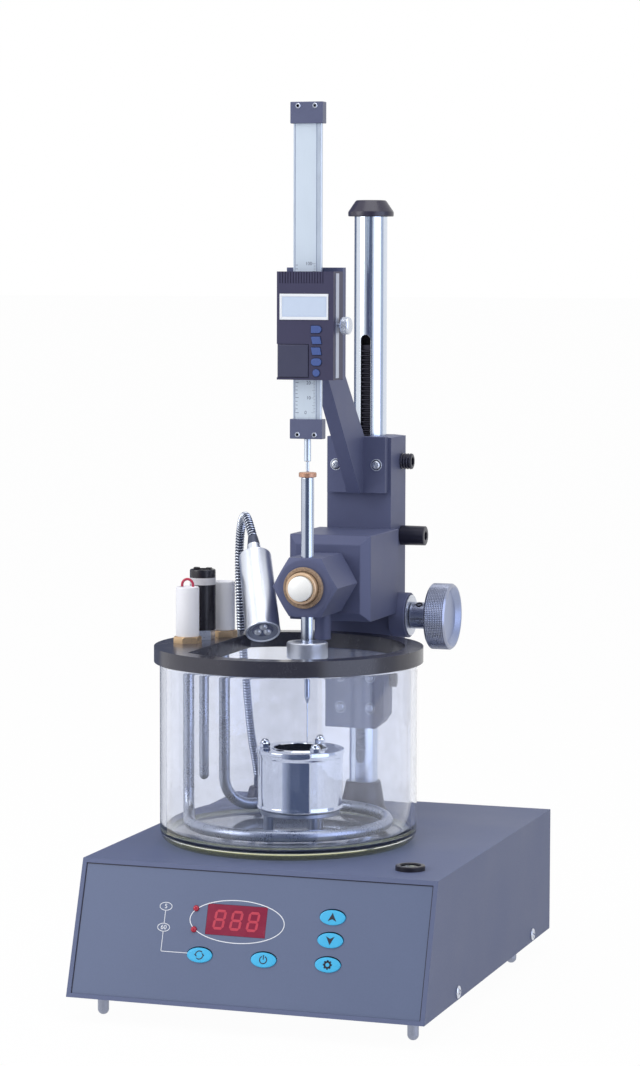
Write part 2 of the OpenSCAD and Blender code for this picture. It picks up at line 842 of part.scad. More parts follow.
// Rod along Y from y0 to y1
module rod_y(y0, y1, x, z, d) translate([x, y1, z]) rotate([90, 0, 0]) cylinder(h = y1 - y0, d = d);

// Places a child on the sloping panel, z pointing out of its surface
module on_panel(x, s)
    translate([0, top_front_y, base_top]) rotate([90 - panel_tilt, 0, 0])
        translate([x, -s, -panel_sink]) children();

// Hexagonal bar by its size across flats
module hex_bar(af, h) cylinder(h = h, d = af / cos(30), $fn = 6);

// Disc with straight ridges round its rim
module ridged_disc(d, n, depth, h) linear_extrude(h)
    polygon([for (i = [0:2 * n - 1])
        (d / 2 - (i % 2) * depth) * [cos(180 * i / n), sin(180 * i / n)]]);

// Oval by its length and height
module oval(w, h) polygon([for (i = [0:47]) [w / 2 * cos(7.5 * i), h / 2 * sin(7.5 * i)]]);

// Pan-head screw with its head towards +Z and its thread below z = 0
module pan_screw(head_d, head_h, thread_d, thread_l) {
    rotate_extrude() intersection() {
        square([head_d / 2, head_h]);
        translate([0, head_h - head_d]) circle(head_d);
    }
    translate([0, 0, -thread_l]) cylinder(h = thread_l, d = thread_d);
}

// Control box

// Front of the box at height z
function front_y(z) = base_front_y + (z - base_clear) * tan(panel_tilt);

module base_cover() color("#858faa") difference() {
    along_x(base_w) polygon([
        [base_front_y, base_clear], [base_rear_y, base_clear],
        [base_rear_y, base_top], [top_front_y, base_top]]);
    along_x(base_w - 2 * sheet_t) polygon([
        [front_y(base_clear - over) + front_wall / cos(panel_tilt), base_clear - over],
        [base_rear_y - sheet_t, base_clear - over],
        [base_rear_y - sheet_t, base_top - sheet_t],
        [front_y(base_top - sheet_t) + front_wall / cos(panel_tilt), base_top - sheet_t]]);
    on_panel(0, slope_l / 2) translate([0, 0, over / 2 - panel_t / 2])
        cube([base_w - 2 * panel_lip, slope_l - 2 * panel_lip, panel_t + over + panel_sink], center = true);
    on_panel(0, slope_l / 2) cube([base_w - 2 * panel_lip - 2 * panel_ledge,
        slope_l - 2 * panel_lip - 2 * panel_ledge, 4 * front_wall], center = true);
    for (y = side_screw_ys)
        rod_x(-base_w, base_w, y, base_clear + side_screw_h, screw_hole_d);
    translate([inlet_x - inlet_body_w / 2, base_rear_y - 2 * sheet_t, inlet_z - inlet_body_h / 2])
        cube([inlet_body_w, 4 * sheet_t, inlet_body_h]);
}

module front_panel() color("#66728c") on_panel(0, slope_l / 2) difference() {
    translate([0, 0, -panel_t / 2]) cube([base_w - 2 * panel_lip - 2 * seat_fit,
        slope_l - 2 * panel_lip - 2 * seat_fit, panel_t], center = true);
    translate([window_x, slope_l / 2 - window_s, 0])
        cube([window_w, window_h, 4 * panel_t], center = true);
    for (p = key_places) translate([p[0], slope_l / 2 - p[1], -panel_t - over])
        linear_extrude(panel_t + 2 * over) oval(key_w + 2 * key_gap, key_h + 2 * key_gap);
    for (s = led_ss) translate([led_x, slope_l / 2 - s, -panel_t - over])
        cylinder(h = panel_t + 2 * over, d = led_d + 2 * seat_fit);
}
key_places = [[key_refresh_x, key_row_s], [key_power_x, key_row_s], [key_right_x, key_up_s],
    [key_right_x, key_down_s], [key_right_x, key_row_s]];

// Red filter of the display, flush with the panel
module display_window() color("#8e1c2c") on_panel(window_x, window_s)
    translate([0, 0, -panel_t / 2])
        cube([window_w - 2 * seat_fit, window_h - 2 * seat_fit, panel_t], center = true);

// Oval key with its flange behind the panel
module panel_key(i) color("#4fc5e8") on_panel(key_places[i][0], key_places[i][1]) {
    translate([0, 0, -panel_t - key_gap]) linear_extrude(panel_t + key_gap + key_proud) oval(key_w, key_h);
    translate([0, 0, -panel_t - key_gap - key_flange_t]) linear_extrude(key_flange_t)
        oval(key_w + 2 * key_flange, key_h + 2 * key_flange);
}

// Board with display block, lamps and key switches
module control_board() color("#3f6b52") on_panel(0, slope_l / 2) {
    translate([0, 0, -panel_t - board_depth - board_t / 2])
        cube([board_w, board_h, board_t], center = true);
    for (x = [-1, 1], y = [-1, 1])
        translate([x * (board_w / 2 - board_post_in), y * (board_h / 2 - board_post_in),
            -panel_t - board_depth])
            cylinder(h = board_depth, d = board_post_d);
    translate([window_x, slope_l / 2 - window_s, -panel_t - board_depth + display_can_h / 2])
        cube([window_w, window_h, display_can_h], center = true);
    for (s = led_ss) translate([led_x, slope_l / 2 - s, -panel_t - board_depth]) {
        cylinder(h = board_depth + panel_t, d = led_d);
        translate([0, 0, board_depth + panel_t]) intersection() {
            sphere(d = led_d);
            cylinder(h = led_d, d = led_d);
        }
    }
    for (p = key_places) translate([p[0], slope_l / 2 - p[1], -panel_t - board_depth])
        translate([-key_switch_w / 2, -key_switch_w / 2, 0])
            cube([key_switch_w, key_switch_w,
                board_depth - key_gap - key_flange_t - key_travel - rest_gap]);
}

// Tray with flanges and weld nuts
module bottom_plate() color("#59627c") difference() {
    union() {
        along_x(base_w - 2 * sheet_t) polygon([
            [tray_front_y, base_clear], [base_rear_y - sheet_t, base_clear],
            [base_rear_y - sheet_t, base_clear + tray_t], [tray_front_y, base_clear + tray_t]]);
        for (side = [-1, 1])
            translate([side * (base_w / 2 - sheet_t - tray_t / 2),
                (tray_front_y + base_rear_y + flange_h) / 2, base_clear + flange_h / 2])
                cube([tray_t, base_rear_y - tray_front_y - 2 * flange_h, flange_h], center = true);
        for (x = [-foot_x, foot_x], y = foot_ys)
            translate([x, y, base_clear]) hex_bar(weld_nut_af, tray_t + weld_nut_h);
    }
    for (x = [-foot_x, foot_x], y = foot_ys)
        translate([x, y, base_clear - over])
            cylinder(h = tray_t + weld_nut_h + 2 * over, d = foot_stud_d + 2 * slide_fit);
    for (y = side_screw_ys)
        rod_x(-base_w, base_w, y, base_clear + side_screw_h, screw_hole_d);
}
tray_front_y = front_y(base_clear + tray_t) + front_wall / cos(panel_tilt) + seat_fit;

module cover_screws() color("#c4c9d6") for (side = [-1, 1], y = side_screw_ys)
    translate([side * base_w / 2, y, base_clear + side_screw_h]) rotate([0, side * 90, 0])
        pan_screw(side_head_d, side_head_h, screw_thread_d, side_screw_l);

// Levelling foot: stud, disc and round-ended pin
module foot(x, y) color("#b9bfce") translate([x, y, 0]) {
    intersection() {
        translate([0, 0, foot_round]) sphere(d = foot_pin_d);
        cylinder(h = foot_round, d = foot_pin_d);
    }
    translate([0, 0, foot_round])
        cylinder(h = base_clear - rest_gap - foot_disc_h - foot_round, d = foot_pin_d);
    translate([0, 0, base_clear - rest_gap - foot_disc_h]) cylinder(h = foot_disc_h, d = foot_d);
    translate([0, 0, base_clear - rest_gap]) cylinder(h = foot_stud_l, d = foot_stud_d);
}

module bubble_level() color("#2c2a36") translate([level_x, top_front_y + level_in, base_top])
    difference() {
        cylinder(h = level_h, d = level_d);
        translate([0, 0, level_h - level_well_depth])
            cylinder(h = level_well_depth + over, d = level_well_d);
    }

// Inlet with its socket, contact blades and rocker well
module power_inlet() color("#23252c") {
    difference() {
        union() {
            translate([inlet_x - inlet_w / 2, base_rear_y, inlet_z - inlet_h / 2])
                cube([inlet_w, inlet_proud, inlet_h]);
            translate([inlet_x - inlet_body_w / 2 + seat_fit, base_rear_y - inlet_depth,
                inlet_z - inlet_body_h / 2 + seat_fit])
                cube([inlet_body_w - 2 * seat_fit, inlet_depth, inlet_body_h - 2 * seat_fit]);
        }
        translate([inlet_x - socket_w / 2, base_rear_y + inlet_proud - socket_depth,
            socket_z - socket_h / 2]) cube([socket_w, socket_depth + over, socket_h]);
        translate([inlet_x - rocker_w / 2 - key_gap, base_rear_y + inlet_proud - rocker_well_depth,
            rocker_z - rocker_r - key_gap])
            cube([rocker_w + 2 * key_gap, rocker_well_depth + over, 2 * rocker_r + 2 * key_gap]);
        rod_x(inlet_x - rocker_w / 2 - axle_l - 2 * key_gap, inlet_x + rocker_w / 2 + axle_l + 2 * key_gap,
            rocker_pivot_y, rocker_z, rocker_axle_d + 2 * slide_fit);
    }
    for (p = [[-blade_side, 0], [blade_side, 0], [0, blade_rise]])
        translate([inlet_x + p[0] - blade_t / 2, base_rear_y + inlet_proud - socket_depth,
            socket_z + p[1] - blade_w / 2]) cube([blade_t, blade_l, blade_w]);
}

// Rocker with a hollow V face, at rest with its upper half pressed in
module power_rocker() color("#15161b") translate([inlet_x, rocker_pivot_y, rocker_z])
    rotate([rocker_tilt, 0, 0]) {
        along_x(rocker_w) polygon([[-rocker_r / 2, rocker_r * 3 / 4], [-rocker_r / 2, -rocker_r * 3 / 4],
            [rocker_face + rocker_r * sin(rocker_tilt), key_gap - rocker_r * cos(rocker_tilt)],
            [rocker_face, 0],
            [rocker_face + rocker_r * sin(rocker_tilt), rocker_r * cos(rocker_tilt) - key_gap]]);
        rod_x(-rocker_w / 2 - axle_l, rocker_w / 2 + axle_l, 0, 0, rocker_axle_d);
    }

// Bath, lid and what hangs from the lid

// Square with one rounded corner at its outer bottom edge
module heel_profile(r, h, round_r) difference() {
    square([r, h]);
    translate([r - round_r, 0]) difference() {
        square([round_r + over, round_r]);
        translate([0, round_r]) circle(round_r);
    }
}

module glass_bath() color("#cfe0d8", 0.4) translate([bath_x, bath_y, base_top])
    rotate_extrude($fn = 128) difference() {
        heel_profile(bath_r, bath_h, heel_r);
        translate([0, bath_floor]) heel_profile(bath_r - bath_wall, bath_h, inner_heel_r);
    }

module bath_lid() color("#2b2833") translate([bath_x, bath_y, lid_z]) linear_extrude(lid_t)
    difference() {
        circle(d = lid_d, $fn = 128);
        intersection() {
            circle(d = lid_hole_d, $fn = 128);
            translate([-lid_chord, -lid_d / 2]) square([lid_d, lid_d]);
        }
        for (p = [start_leg, end_leg]) translate(p) circle(d = leg_hole_d);
        translate(probe_place) circle(d = probe_hole_d);
    }

// Leg of the heater: a bend out of the ring and a rise through the lid
module heater_rise(a, turn)
    translate([heater_ring_r * cos(a), heater_ring_r * sin(a), heater_bend_r])
        rotate([0, 0, a + turn * 90]) rotate([90, 0, 0]) {
            rotate([0, 0, -90]) rotate_extrude(angle = 90)
                translate([heater_bend_r, 0]) circle(d = heater_d);
            translate([heater_bend_r, 0, 0]) rotate([-90, 0, 0])
                cylinder(h = lid_top + terminal_nut_h + leg_top - heater_z - heater_bend_r, d = heater_d);
        }

module heater_tube() color("#b4b9c6") translate([bath_x, bath_y, heater_z]) {
    rotate([0, 0, heater_start]) rotate_extrude(angle = heater_end - heater_start, $fn = 96)
        translate([heater_ring_r, 0]) circle(d = heater_d);
    heater_rise(heater_start, -1);
    heater_rise(heater_end, 1);
}

// Probe with its nut and its black head on the lid
module temperature_probe() translate([bath_x + probe_place[0], bath_y + probe_place[1], 0]) {
    color("#aab0c0") translate([0, 0, lid_z - probe_l + probe_d / 2]) {
        cylinder(h = probe_l - probe_d / 2 + lid_t, d = probe_d);
        sphere(d = probe_d);
    }
    color("#23212b") {
        translate([0, 0, lid_top + probe_nut_h]) cylinder(h = probe_head_top - probe_nut_h, d = probe_head_d);
        for (side = [-1, 1])
            translate([side * probe_head_d / 4 - cap_tab_w / 2, -cap_tab_w / 2, lid_top + probe_head_top])
                cube([cap_tab_w, cap_tab_w, cap_tab_h]);
    }
}

module terminal_nuts() {
    color("#e0bfa0") for (p = [start_leg, end_leg])
        translate([bath_x + p[0], bath_y + p[1], lid_top]) difference() {
            hex_bar(terminal_nut_af, terminal_nut_h);
            translate([0, 0, -over]) cylinder(h = terminal_nut_h + 2 * over, d = leg_hole_d);
        }
    color("#c9c6c4") translate([bath_x + probe_place[0], bath_y + probe_place[1], lid_top])
        hex_bar(probe_nut_af, probe_nut_h);
}

module terminal_sleeves() color("#f2f3f0") for (p = [start_leg, end_leg])
    translate([bath_x + p[0], bath_y + p[1], lid_top + terminal_nut_h]) difference() {
        cylinder(h = sleeve_top - terminal_nut_h, d = sleeve_d);
        translate([0, 0, -over]) cylinder(h = sleeve_bore_depth + over, d = leg_hole_d);
    }

// Short wire bridge standing on the front sleeve
module terminal_wire() color("#b8304d")
    translate([bath_x + start_leg[0], bath_y + start_leg[1], lid_top + sleeve_top]) {
        translate([0, 0, wire_h - sleeve_d / 4 - wire_d / 2]) rotate([90, 0, 0]) rotate_extrude(angle = 180)
            translate([sleeve_d / 4, 0]) circle(d = wire_d);
        for (side = [-1, 1]) translate([side * sleeve_d / 4, 0, 0])
            cylinder(h = wire_h - sleeve_d / 4 - wire_d / 2, d = wire_d);
    }

// Sample cup on its stand

module cup_stand() color("#aeb4c2") translate([cup_x, needle_y, bath_floor_z]) {
    translate([0, 0, stand_h - stand_t]) difference() {
        cylinder(h = stand_t, d = stand_d);
        translate([0, 0, -over]) cylinder(h = stand_t + 2 * over, d = stand_hole_d);
    }
    for (i = [0:2]) rotate([0, 0, acorn_first + 120 * i])
        translate([(stand_d + stand_hole_d) / 4, 0, 0]) cylinder(h = stand_h - stand_t / 2, d = stand_leg_d);
}

module sample_cup() color("#c8cdd8") translate([cup_x, needle_y, cup_z]) difference() {
    cylinder(h = cup_h, d = cup_d);
    translate([0, 0, cup_wall]) cylinder(h = cup_h, d = cup_d - 2 * cup_wall);
}

module cup_lid() color("#d4d8e0") translate([cup_x, needle_y, cup_z + cup_h]) {
    difference() {
        cylinder(h = cup_lid_t, d = cup_lid_d);
        translate([0, 0, -over]) cylinder(h = cup_lid_t + 2 * over, d = cup_hole_d);
    }
    for (i = [0:2]) rotate([0, 0, acorn_first + 120 * i]) translate([acorn_ring_r, 0, cup_lid_t + seat_fit]) {
        hex_bar(acorn_af, acorn_h / 2);
        translate([0, 0, acorn_h / 2]) intersection() {
            cylinder(h = acorn_h / 2, d = acorn_af);
            translate([0, 0, -acorn_h / 8]) sphere(r = 5 * acorn_h / 8);
        }
    }
}

// Column

module column() color("#c9d3e2") translate([0, column_y, base_top]) difference() {
    cylinder(h = column_h, d = column_d);
    translate([-slot_w / 2, -column_d / 2 - over, slot_bottom + slot_w / 2])
        cube([slot_w, slot_depth + over, slot_top - slot_bottom - slot_w]);
    for (z = [slot_bottom + slot_w / 2, slot_top - slot_w / 2])
        rod_y(-column_d / 2 - over, -column_d / 2 + slot_depth, 0, z, slot_w);
}

// Half thickness of a tooth at its pitch line
half_tooth = pitch / 4 - backlash / 2;
rack_teeth = floor((rack_high - rack_low) / pitch) - 1;
// Lowest rack tooth: a gap faces the pinion at rest
first_tooth = pinion_z - (floor((pinion_z - rack_low) / pitch) - 0.5) * pitch;

// Rack with straight flanks
module column_rack() color("#8f97aa") along_x(rack_w) polygon(concat(
    [[slot_back_y, rack_low], [slot_back_y, rack_high], [rack_pitch_y + dedendum, rack_high]],
    [for (i = [rack_teeth - 1:-1:0], k = [0:3])
        let (z = first_tooth + i * pitch, tip = (k == 1 || k == 2), up = k < 2 ? 1 : -1,
            half = half_tooth + (tip ? -tooth_module : dedendum) * tan(pressure_angle))
        [rack_pitch_y + (tip ? -tooth_module : dedendum), z + up * half]],
    [[rack_pitch_y + dedendum, rack_low]]));

module column_cap() color("#2b2937") translate([0, column_y, base_top + column_h]) {
    cylinder(h = cap_brim_h, d = cap_d);
    translate([0, 0, cap_brim_h]) cylinder(h = cap_h - cap_brim_h, d1 = cap_d, d2 = cap_top_d);
}

module column_socket() color("#2b2937") translate([0, column_y, base_top]) difference() {
    union() {
        cylinder(h = socket_flange_h, d = socket_flange_d);
        translate([0, 0, socket_flange_h])
            cylinder(h = column_socket_h - socket_flange_h, d1 = socket_low_d, d2 = socket_top_d);
    }
    translate([0, 0, -over]) cylinder(h = column_socket_h + 2 * over, d = column_d);
}

// Lift body and its drive

body_turn_y = body_rear_y - body_chamfer;

module lift_body() color("#5f6480") difference() {
    intersection() {
        translate([0, 0, body_z]) linear_extrude(body_h) polygon([
            [-body_w / 2, body_front_y], [body_w / 2, body_front_y], [body_w / 2, body_turn_y],
            [body_w / 2 - body_chamfer, body_rear_y], [-body_w / 2 + body_chamfer, body_rear_y],
            [-body_w / 2, body_turn_y]]);
        translate([0, body_rear_y + over, 0]) rotate([90, 0, 0])
            linear_extrude(body_rear_y - body_front_y + 2 * over) polygon([
                [-body_w / 2 - over, body_z], [body_w / 2 - body_foot_chamfer, body_z],
                [body_w / 2, body_z + body_foot_chamfer], [body_w / 2, body_top],
                [-body_w / 2 - over, body_top]]);
    }
    translate([0, column_y, body_z - over]) cylinder(h = body_h + 2 * over, d = column_d + 2 * slide_fit);
    rod_x(-pinion_w / 2 - pinion_room, pinion_w / 2 + pinion_room, pinion_y, pinion_z, spigot_d);
    rod_x(0, body_w, pinion_y, pinion_z, spigot_d);
    rod_x(-shaft_left_l, 0, pinion_y, pinion_z, shaft_bore_d);
    for (z = [adjuster_low, clamp_high, adjuster_high])
        rod_x(column_d / 2, body_w, column_y, body_z + z, side_thread_d + 2 * seat_fit);
    for (p = concat(body_screws, plate_screws))
        rod_y(body_front_y - over, body_front_y + pan_d, p[0], p[1], screw_hole_d);
}
body_screws = [for (x = [-body_screw_x, body_screw_x], z = [0, body_screw_gap])
    [x, body_z + body_screw_low + z]];
plate_screws = [for (x = [-plate_screw_x, plate_screw_x]) [x, plate_z + plate_h / 2]];

// Screws of the body and of the bracket
module lift_screws() color("#c4cad8") {
    for (p = body_screws) translate([p[0], body_front_y, p[1]]) rotate([90, 0, 0])
        pan_screw(pan_d, pan_h, screw_thread_d, pan_d);
    for (p = plate_screws) translate([p[0], plate_front_y, p[1]]) rotate([90, 0, 0])
        pan_screw(pan_d, pan_h, screw_thread_d, plate_t + pan_d);
}

// Socket-head screw in the body's right side
module side_screw(d, l, z) difference() {
    union() {
        rod_x(body_w / 2, body_w / 2 + l, column_y, body_z + z, d);
        rod_x(body_w / 2 - thread_reach, body_w / 2, column_y, body_z + z, side_thread_d);
    }
    translate([body_w / 2 + l / 2, column_y, body_z + z]) rotate([0, 90, 0]) hex_bar(hex_key_af, l);
}

module side_screws() color("#2a2835") {
    side_screw(adjuster_d, adjuster_l, adjuster_low);
    side_screw(adjuster_d, adjuster_l, adjuster_high);
    side_screw(clamp_d, clamp_l, clamp_high);
}

// Bearing of the pinion shaft: spigot, boss and washer
module shaft_bearing() difference() {
    union() {
        color("#4d5068") rod_x(body_w / 2, body_w / 2 + bearing_l - washer_t - seat_fit,
            pinion_y, pinion_z, bearing_d);
        color("#c9cfdb") rod_x(body_w / 2 + bearing_l - washer_t, body_w / 2 + bearing_l,
            pinion_y, pinion_z, washer_d);
        color("#4d5068") rod_x(body_w / 2 - spigot_l, body_w / 2, pinion_y, pinion_z,
            spigot_d - 2 * seat_fit);
    }
    rod_x(0, body_w, pinion_y, pinion_z, shaft_bore_d);
}

// Point of an involute at roll angle t
function involute(r, t) = r * [cos(t) + t * PI / 180 * sin(t), sin(t) - t * PI / 180 * cos(t)];
base_r = pinion_r * cos(pressure_angle);
// Angle of the involute where it crosses radius r
function roll_at(r) = sqrt(pow(r / base_r, 2) - 1) * 180 / PI;
function spread_at(r) = roll_at(r) - atan(roll_at(r) * PI / 180);
flank_steps = 4;
// Half angle of a tooth at its base circle
base_half = half_tooth / pinion_r * 180 / PI + spread_at(pinion_r);

// Involute flanks on narrow roots, which clear the rack's tips
module pinion_outline() polygon([for (i = [0:pinion_teeth - 1], p = tooth_points)
    let (a = 360 * i / pinion_teeth)
    [p[0] * cos(a) - p[1] * sin(a), p[0] * sin(a) + p[1] * cos(a)]]);
root_share = 0.8;
root_half = base_half * root_share;
right_flank = concat([root_r * [cos(root_half), -sin(root_half)]],
    [for (k = [0:flank_steps]) let (t = roll_at(tip_r) * k / flank_steps, q = involute(base_r, t))
        [q[0] * cos(base_half) + q[1] * sin(base_half), q[1] * cos(base_half) - q[0] * sin(base_half)]]);
tooth_points = concat(right_flank,
    [for (k = [len(right_flank) - 1:-1:0]) [right_flank[k][0], -right_flank[k][1]]]);

module pinion_shaft() color("#9aa0b0") {
    translate([-pinion_w / 2, pinion_y, pinion_z]) rotate([0, 90, 0]) rotate([0, 0, 90])
        linear_extrude(pinion_w) pinion_outline();
    rod_x(-shaft_left_l + rest_gap, shaft_right_end, pinion_y, pinion_z, shaft_d);
}

// Knurled knob with hub and dished face
module knob() color("#8d93ac") difference() {
    union() {
        rod_x(hub_x, hub_x + hub_l, pinion_y, pinion_z, hub_d);
        translate([hub_x + hub_l, pinion_y, pinion_z]) rotate([0, 90, 0])
            ridged_disc(knob_d, knob_ridges, ridge_depth, knob_t);
    }
    rod_x(0, shaft_right_end, pinion_y, pinion_z, shaft_d);
    translate([hub_x + hub_l + knob_t - dish_depth, pinion_y, pinion_z]) rotate([0, 90, 0])
        cylinder(h = dish_depth + over, d1 = dish_d - 2 * dish_depth,
            d2 = dish_d + 2 * over);
}
hub_x = body_w / 2 + bearing_l + rest_gap;

// Head

// Block with a relief for the shaft bearing's boss
module head_block() color("#5f6480") difference() {
    intersection() {
        translate([0, 0, block_z]) linear_extrude(block_h) polygon([
            [-block_w / 2, body_front_y], [-block_w / 2, block_front_y + block_chamfer],
            [-block_w / 2 + block_chamfer, block_front_y], [block_w / 2 - block_chamfer, block_front_y],
            [block_w / 2, block_front_y + block_chamfer], [block_w / 2, body_front_y]]);
        along_x(block_w + 2 * over) polygon([
            [body_front_y, block_z], [block_front_y + block_chamfer, block_z],
            [block_front_y, block_z + block_chamfer], [block_front_y, block_z + block_h - block_chamfer],
            [block_front_y + block_chamfer, block_z + block_h], [body_front_y, block_z + block_h]]);
    }
    rod_x(body_w / 2 - over, block_w, pinion_y, pinion_z, bearing_d + 2 * seat_fit);
}

// Hexagonal bar, cross-drilled for rod and spindle
module hex_head() color("#5c617d") difference() {
    union() {
        intersection() {
            translate([0, hex_rear_y, hex_z]) rotate([90, 0, 0]) hex_bar(hex_af, hex_l);
            translate([0, hex_rear_y, hex_z]) rotate([90, 0, 0]) {
                cylinder(h = hex_l - hex_turn_l, d = 2 * hex_af);
                translate([0, 0, hex_l - hex_turn_l])
                    cylinder(h = hex_turn_l, d1 = hex_af / cos(30), d2 = hex_face_d);
            }
        }
        rod_y(hex_rear_y, block_front_y, 0, hex_z, neck_d);
        translate([0, needle_y + post_back, hex_z - hex_af / 2 - post_l])
            cylinder(h = post_l + hex_af / 4, d = post_d);
    }
    rod_y(hex_front_y - over, spring_seat_y, 0, hex_z, spindle_d + 2 * slide_fit);
    translate([0, needle_y, hex_z - hex_af]) cylinder(h = 2 * hex_af, d = rod_d + 2 * slide_fit);
}

module button_collar() color("#c0906c") difference() {
    union() {
        translate([0, hex_front_y, hex_z]) rotate([90, 0, 0])
            ridged_disc(ring_d, 48, ridge_depth, ring_t);
        rod_y(collar_front_y, ring_front_y, 0, hex_z, collar_d);
    }
    rod_y(collar_front_y - over, hex_front_y + over, 0, hex_z, button_d + 2 * key_gap);
}

// Domed button and spindle, whose cross slot lets the rod through
module release_button() color("#f4fafc") difference() {
    union() {
        intersection() {
            rod_y(button_front_y, button_rear_y, 0, hex_z, button_d);
            translate([0, button_front_y + dome_r, hex_z]) rotate([90, 0, 0]) sphere(r = dome_r);
        }
        rod_y(button_rear_y, spindle_end_y, 0, hex_z, spindle_d);
    }
    rod_slot_w = rod_d + 2 * rest_gap;
    for (dy = [-button_travel, 0]) translate([0, needle_y + dy, hex_z - hex_af])
        cylinder(h = 2 * hex_af, d = rod_slot_w);
    translate([-rod_slot_w / 2, needle_y - button_travel, hex_z - hex_af])
        cube([rod_slot_w, button_travel, 2 * hex_af]);
}

// Spring behind the spindle, seated in the head's bore
module button_spring() color("#8f949f") difference() {
    rod_y(spindle_end_y, spring_seat_y, 0, hex_z, spindle_d - 2 * rest_gap);
    rod_y(spindle_end_y - over, spring_seat_y + over, 0, hex_z, spindle_d - 2 * rest_gap - 2 * spring_wire_d);
}

// Plunger

module plunger_rod() color("#bcc4d4") translate([0, needle_y, stub_z])
    cylinder(h = rod_top_z - stub_z, d = rod_d);

// Weight ring on the rod's lower end and the cap on its top
module plunger_weight() color("#c3c9d4") translate([0, needle_y, 0]) {
    difference() {
        rotate_extrude() polygon([
            [0, weight_z], [weight_d / 2 - weight_chamfer, weight_z],
            [weight_d / 2, weight_z + weight_chamfer], [weight_d / 2, weight_top - weight_chamfer],
            [weight_d / 2 - weight_chamfer, weight_top], [0, weight_top]]);
        translate([0, 0, weight_z - over]) cylinder(h = weight_h + 2 * over, d = rod_d);
    }
    translate([0, 0, rod_top_z]) cylinder(h = rod_cap_h, d = rod_cap_d);
}

module needle() color("#d5dae4") translate([0, needle_y, 0]) {
    translate([0, 0, stub_z - ferrule_l]) cylinder(h = ferrule_l, d = ferrule_d);
    translate([0, 0, ferrule_low]) cylinder(h = ferrule_taper, d1 = needle_d, d2 = ferrule_d, $fn = 32);
    translate([0, 0, needle_tip + needle_point_l])
        cylinder(h = needle_l - needle_point_l, d = needle_d, $fn = 32);
    translate([0, 0, needle_tip]) cylinder(h = needle_point_l, d1 = needle_end_d, d2 = needle_d, $fn = 32);
}

// Digital scale on its bracket

module scale_bracket() color("#5a5f7a") difference() {
    union() {
        translate([-plate_w / 2, plate_front_y, plate_z]) cube([plate_w, plate_t, plate_h]);
        translate([-head_plate_w / 2 + scale_x, head_plate_y, head_plate_z])
            cube([head_plate_w, head_plate_t, head_plate_h]);
        along_x(arm_w) polygon([
            [body_front_y - plate_over, plate_z], [arm_low_y, plate_z],
            [head_plate_back_y, plate_z + (arm_low_y - head_plate_back_y) * arm_low_slope],
            [head_plate_back_y, plate_top + (arm_high_y - head_plate_back_y) * arm_high_slope],
            [arm_high_y, plate_top]]);
    }
    for (p = plate_screws) rod_y(plate_front_y - over, body_front_y + over, p[0], p[1], screw_hole_d);
}

// Housing on the beam, with battery pocket and ribbed strip
module scale_head() color("#4c4e68") difference() {
    translate([scale_x - scale_w / 2, scale_front_y, scale_z]) cube([scale_w, scale_depth, scale_h]);
    translate([-beam_w / 2 - slide_fit, beam_front_y - slide_fit, scale_z - over])
        cube([beam_w + 2 * slide_fit, beam_t + 2 * slide_fit, scale_h + 2 * over]);
    translate([bezel_x - bezel_w / 2, scale_front_y - over, scale_z + bezel_bottom])
        cube([bezel_w, bezel_depth + over, bezel_h]);
    for (i = [0:4]) small_key_place(i) translate([0, 0, -small_key_depth])
        linear_extrude(small_key_depth + over) small_key_shape(i, key_gap);
    translate([scale_x - scale_w / 2 - over, scale_front_y - over, scale_z + cover_bottom - key_gap])
        cube([over + cover_rim + cover_w + key_gap, over + cover_t - cover_proud + key_gap,
            cover_h + 2 * key_gap]);
    for (i = [1:strip_grooves])
        translate([scale_x - scale_w / 2 + i * groove_pitch, scale_front_y - over, scale_z + scale_h - strip_h])
            cube([groove_depth, groove_depth + over, strip_h + over]);
    rod_x(0, scale_w, beam_mid_y, thumb_z, thumb_thread_d + 2 * slide_fit);
}

// Display glass inside its bezel
module scale_lcd() color("#c9d6ea") difference() {
    translate([bezel_x - bezel_w / 2 + seat_fit, scale_front_y - bezel_proud,
        scale_z + bezel_bottom + seat_fit])
        cube([bezel_w - 2 * seat_fit, bezel_depth + bezel_proud, bezel_h - 2 * seat_fit]);
    translate([bezel_x + lcd_shift - lcd_w / 2, scale_front_y - bezel_proud - over,
        scale_z + bezel_bottom + (bezel_h - lcd_h) / 2]) cube([lcd_w, over + bezel_proud / 2, lcd_h]);
}

// Place of small key i, from the top, with z pointing out of the head
module small_key_place(i)
    translate([small_key_x, scale_front_y, scale_z + small_key_top - i * small_key_gap])
        rotate([90, 0, 0]) children();

// Outline of small key i, grown by a margin
module small_key_shape(i, margin) {
    w = small_key_w / 2 + margin;
    h = small_key_h / 2 + margin;
    lean = small_key_h / 5;
    if (i == 0) {
        translate([-w, -h]) square([2 * w - h, 2 * h]);
        translate([w - h, 0]) circle(h);
    }
    if (i == 1 || i == 2)
        polygon([[-w, h], [w - lean, h], [w, -h], [-w + lean, -h]]);
    if (i == 3) {
        translate([-w + h, -h]) square([2 * w - 2 * h, 2 * h]);
        for (side = [-1, 1]) translate([side * (w - h), 0]) circle(h);
    }
    if (i == 4) circle(small_key_h / 2 + margin);
}

module small_key(i) color("#4a62a0") small_key_place(i)
    translate([0, 0, small_key_travel + rest_gap - small_key_depth])
        linear_extrude(small_key_depth - small_key_travel - rest_gap + small_key_proud)
            small_key_shape(i, 0);

// Battery cover
module battery_cover() color("#4a4c66")
    translate([cover_x - cover_w / 2, scale_front_y - cover_proud, scale_z + cover_bottom])
        cube([cover_w, cover_t, cover_h]);

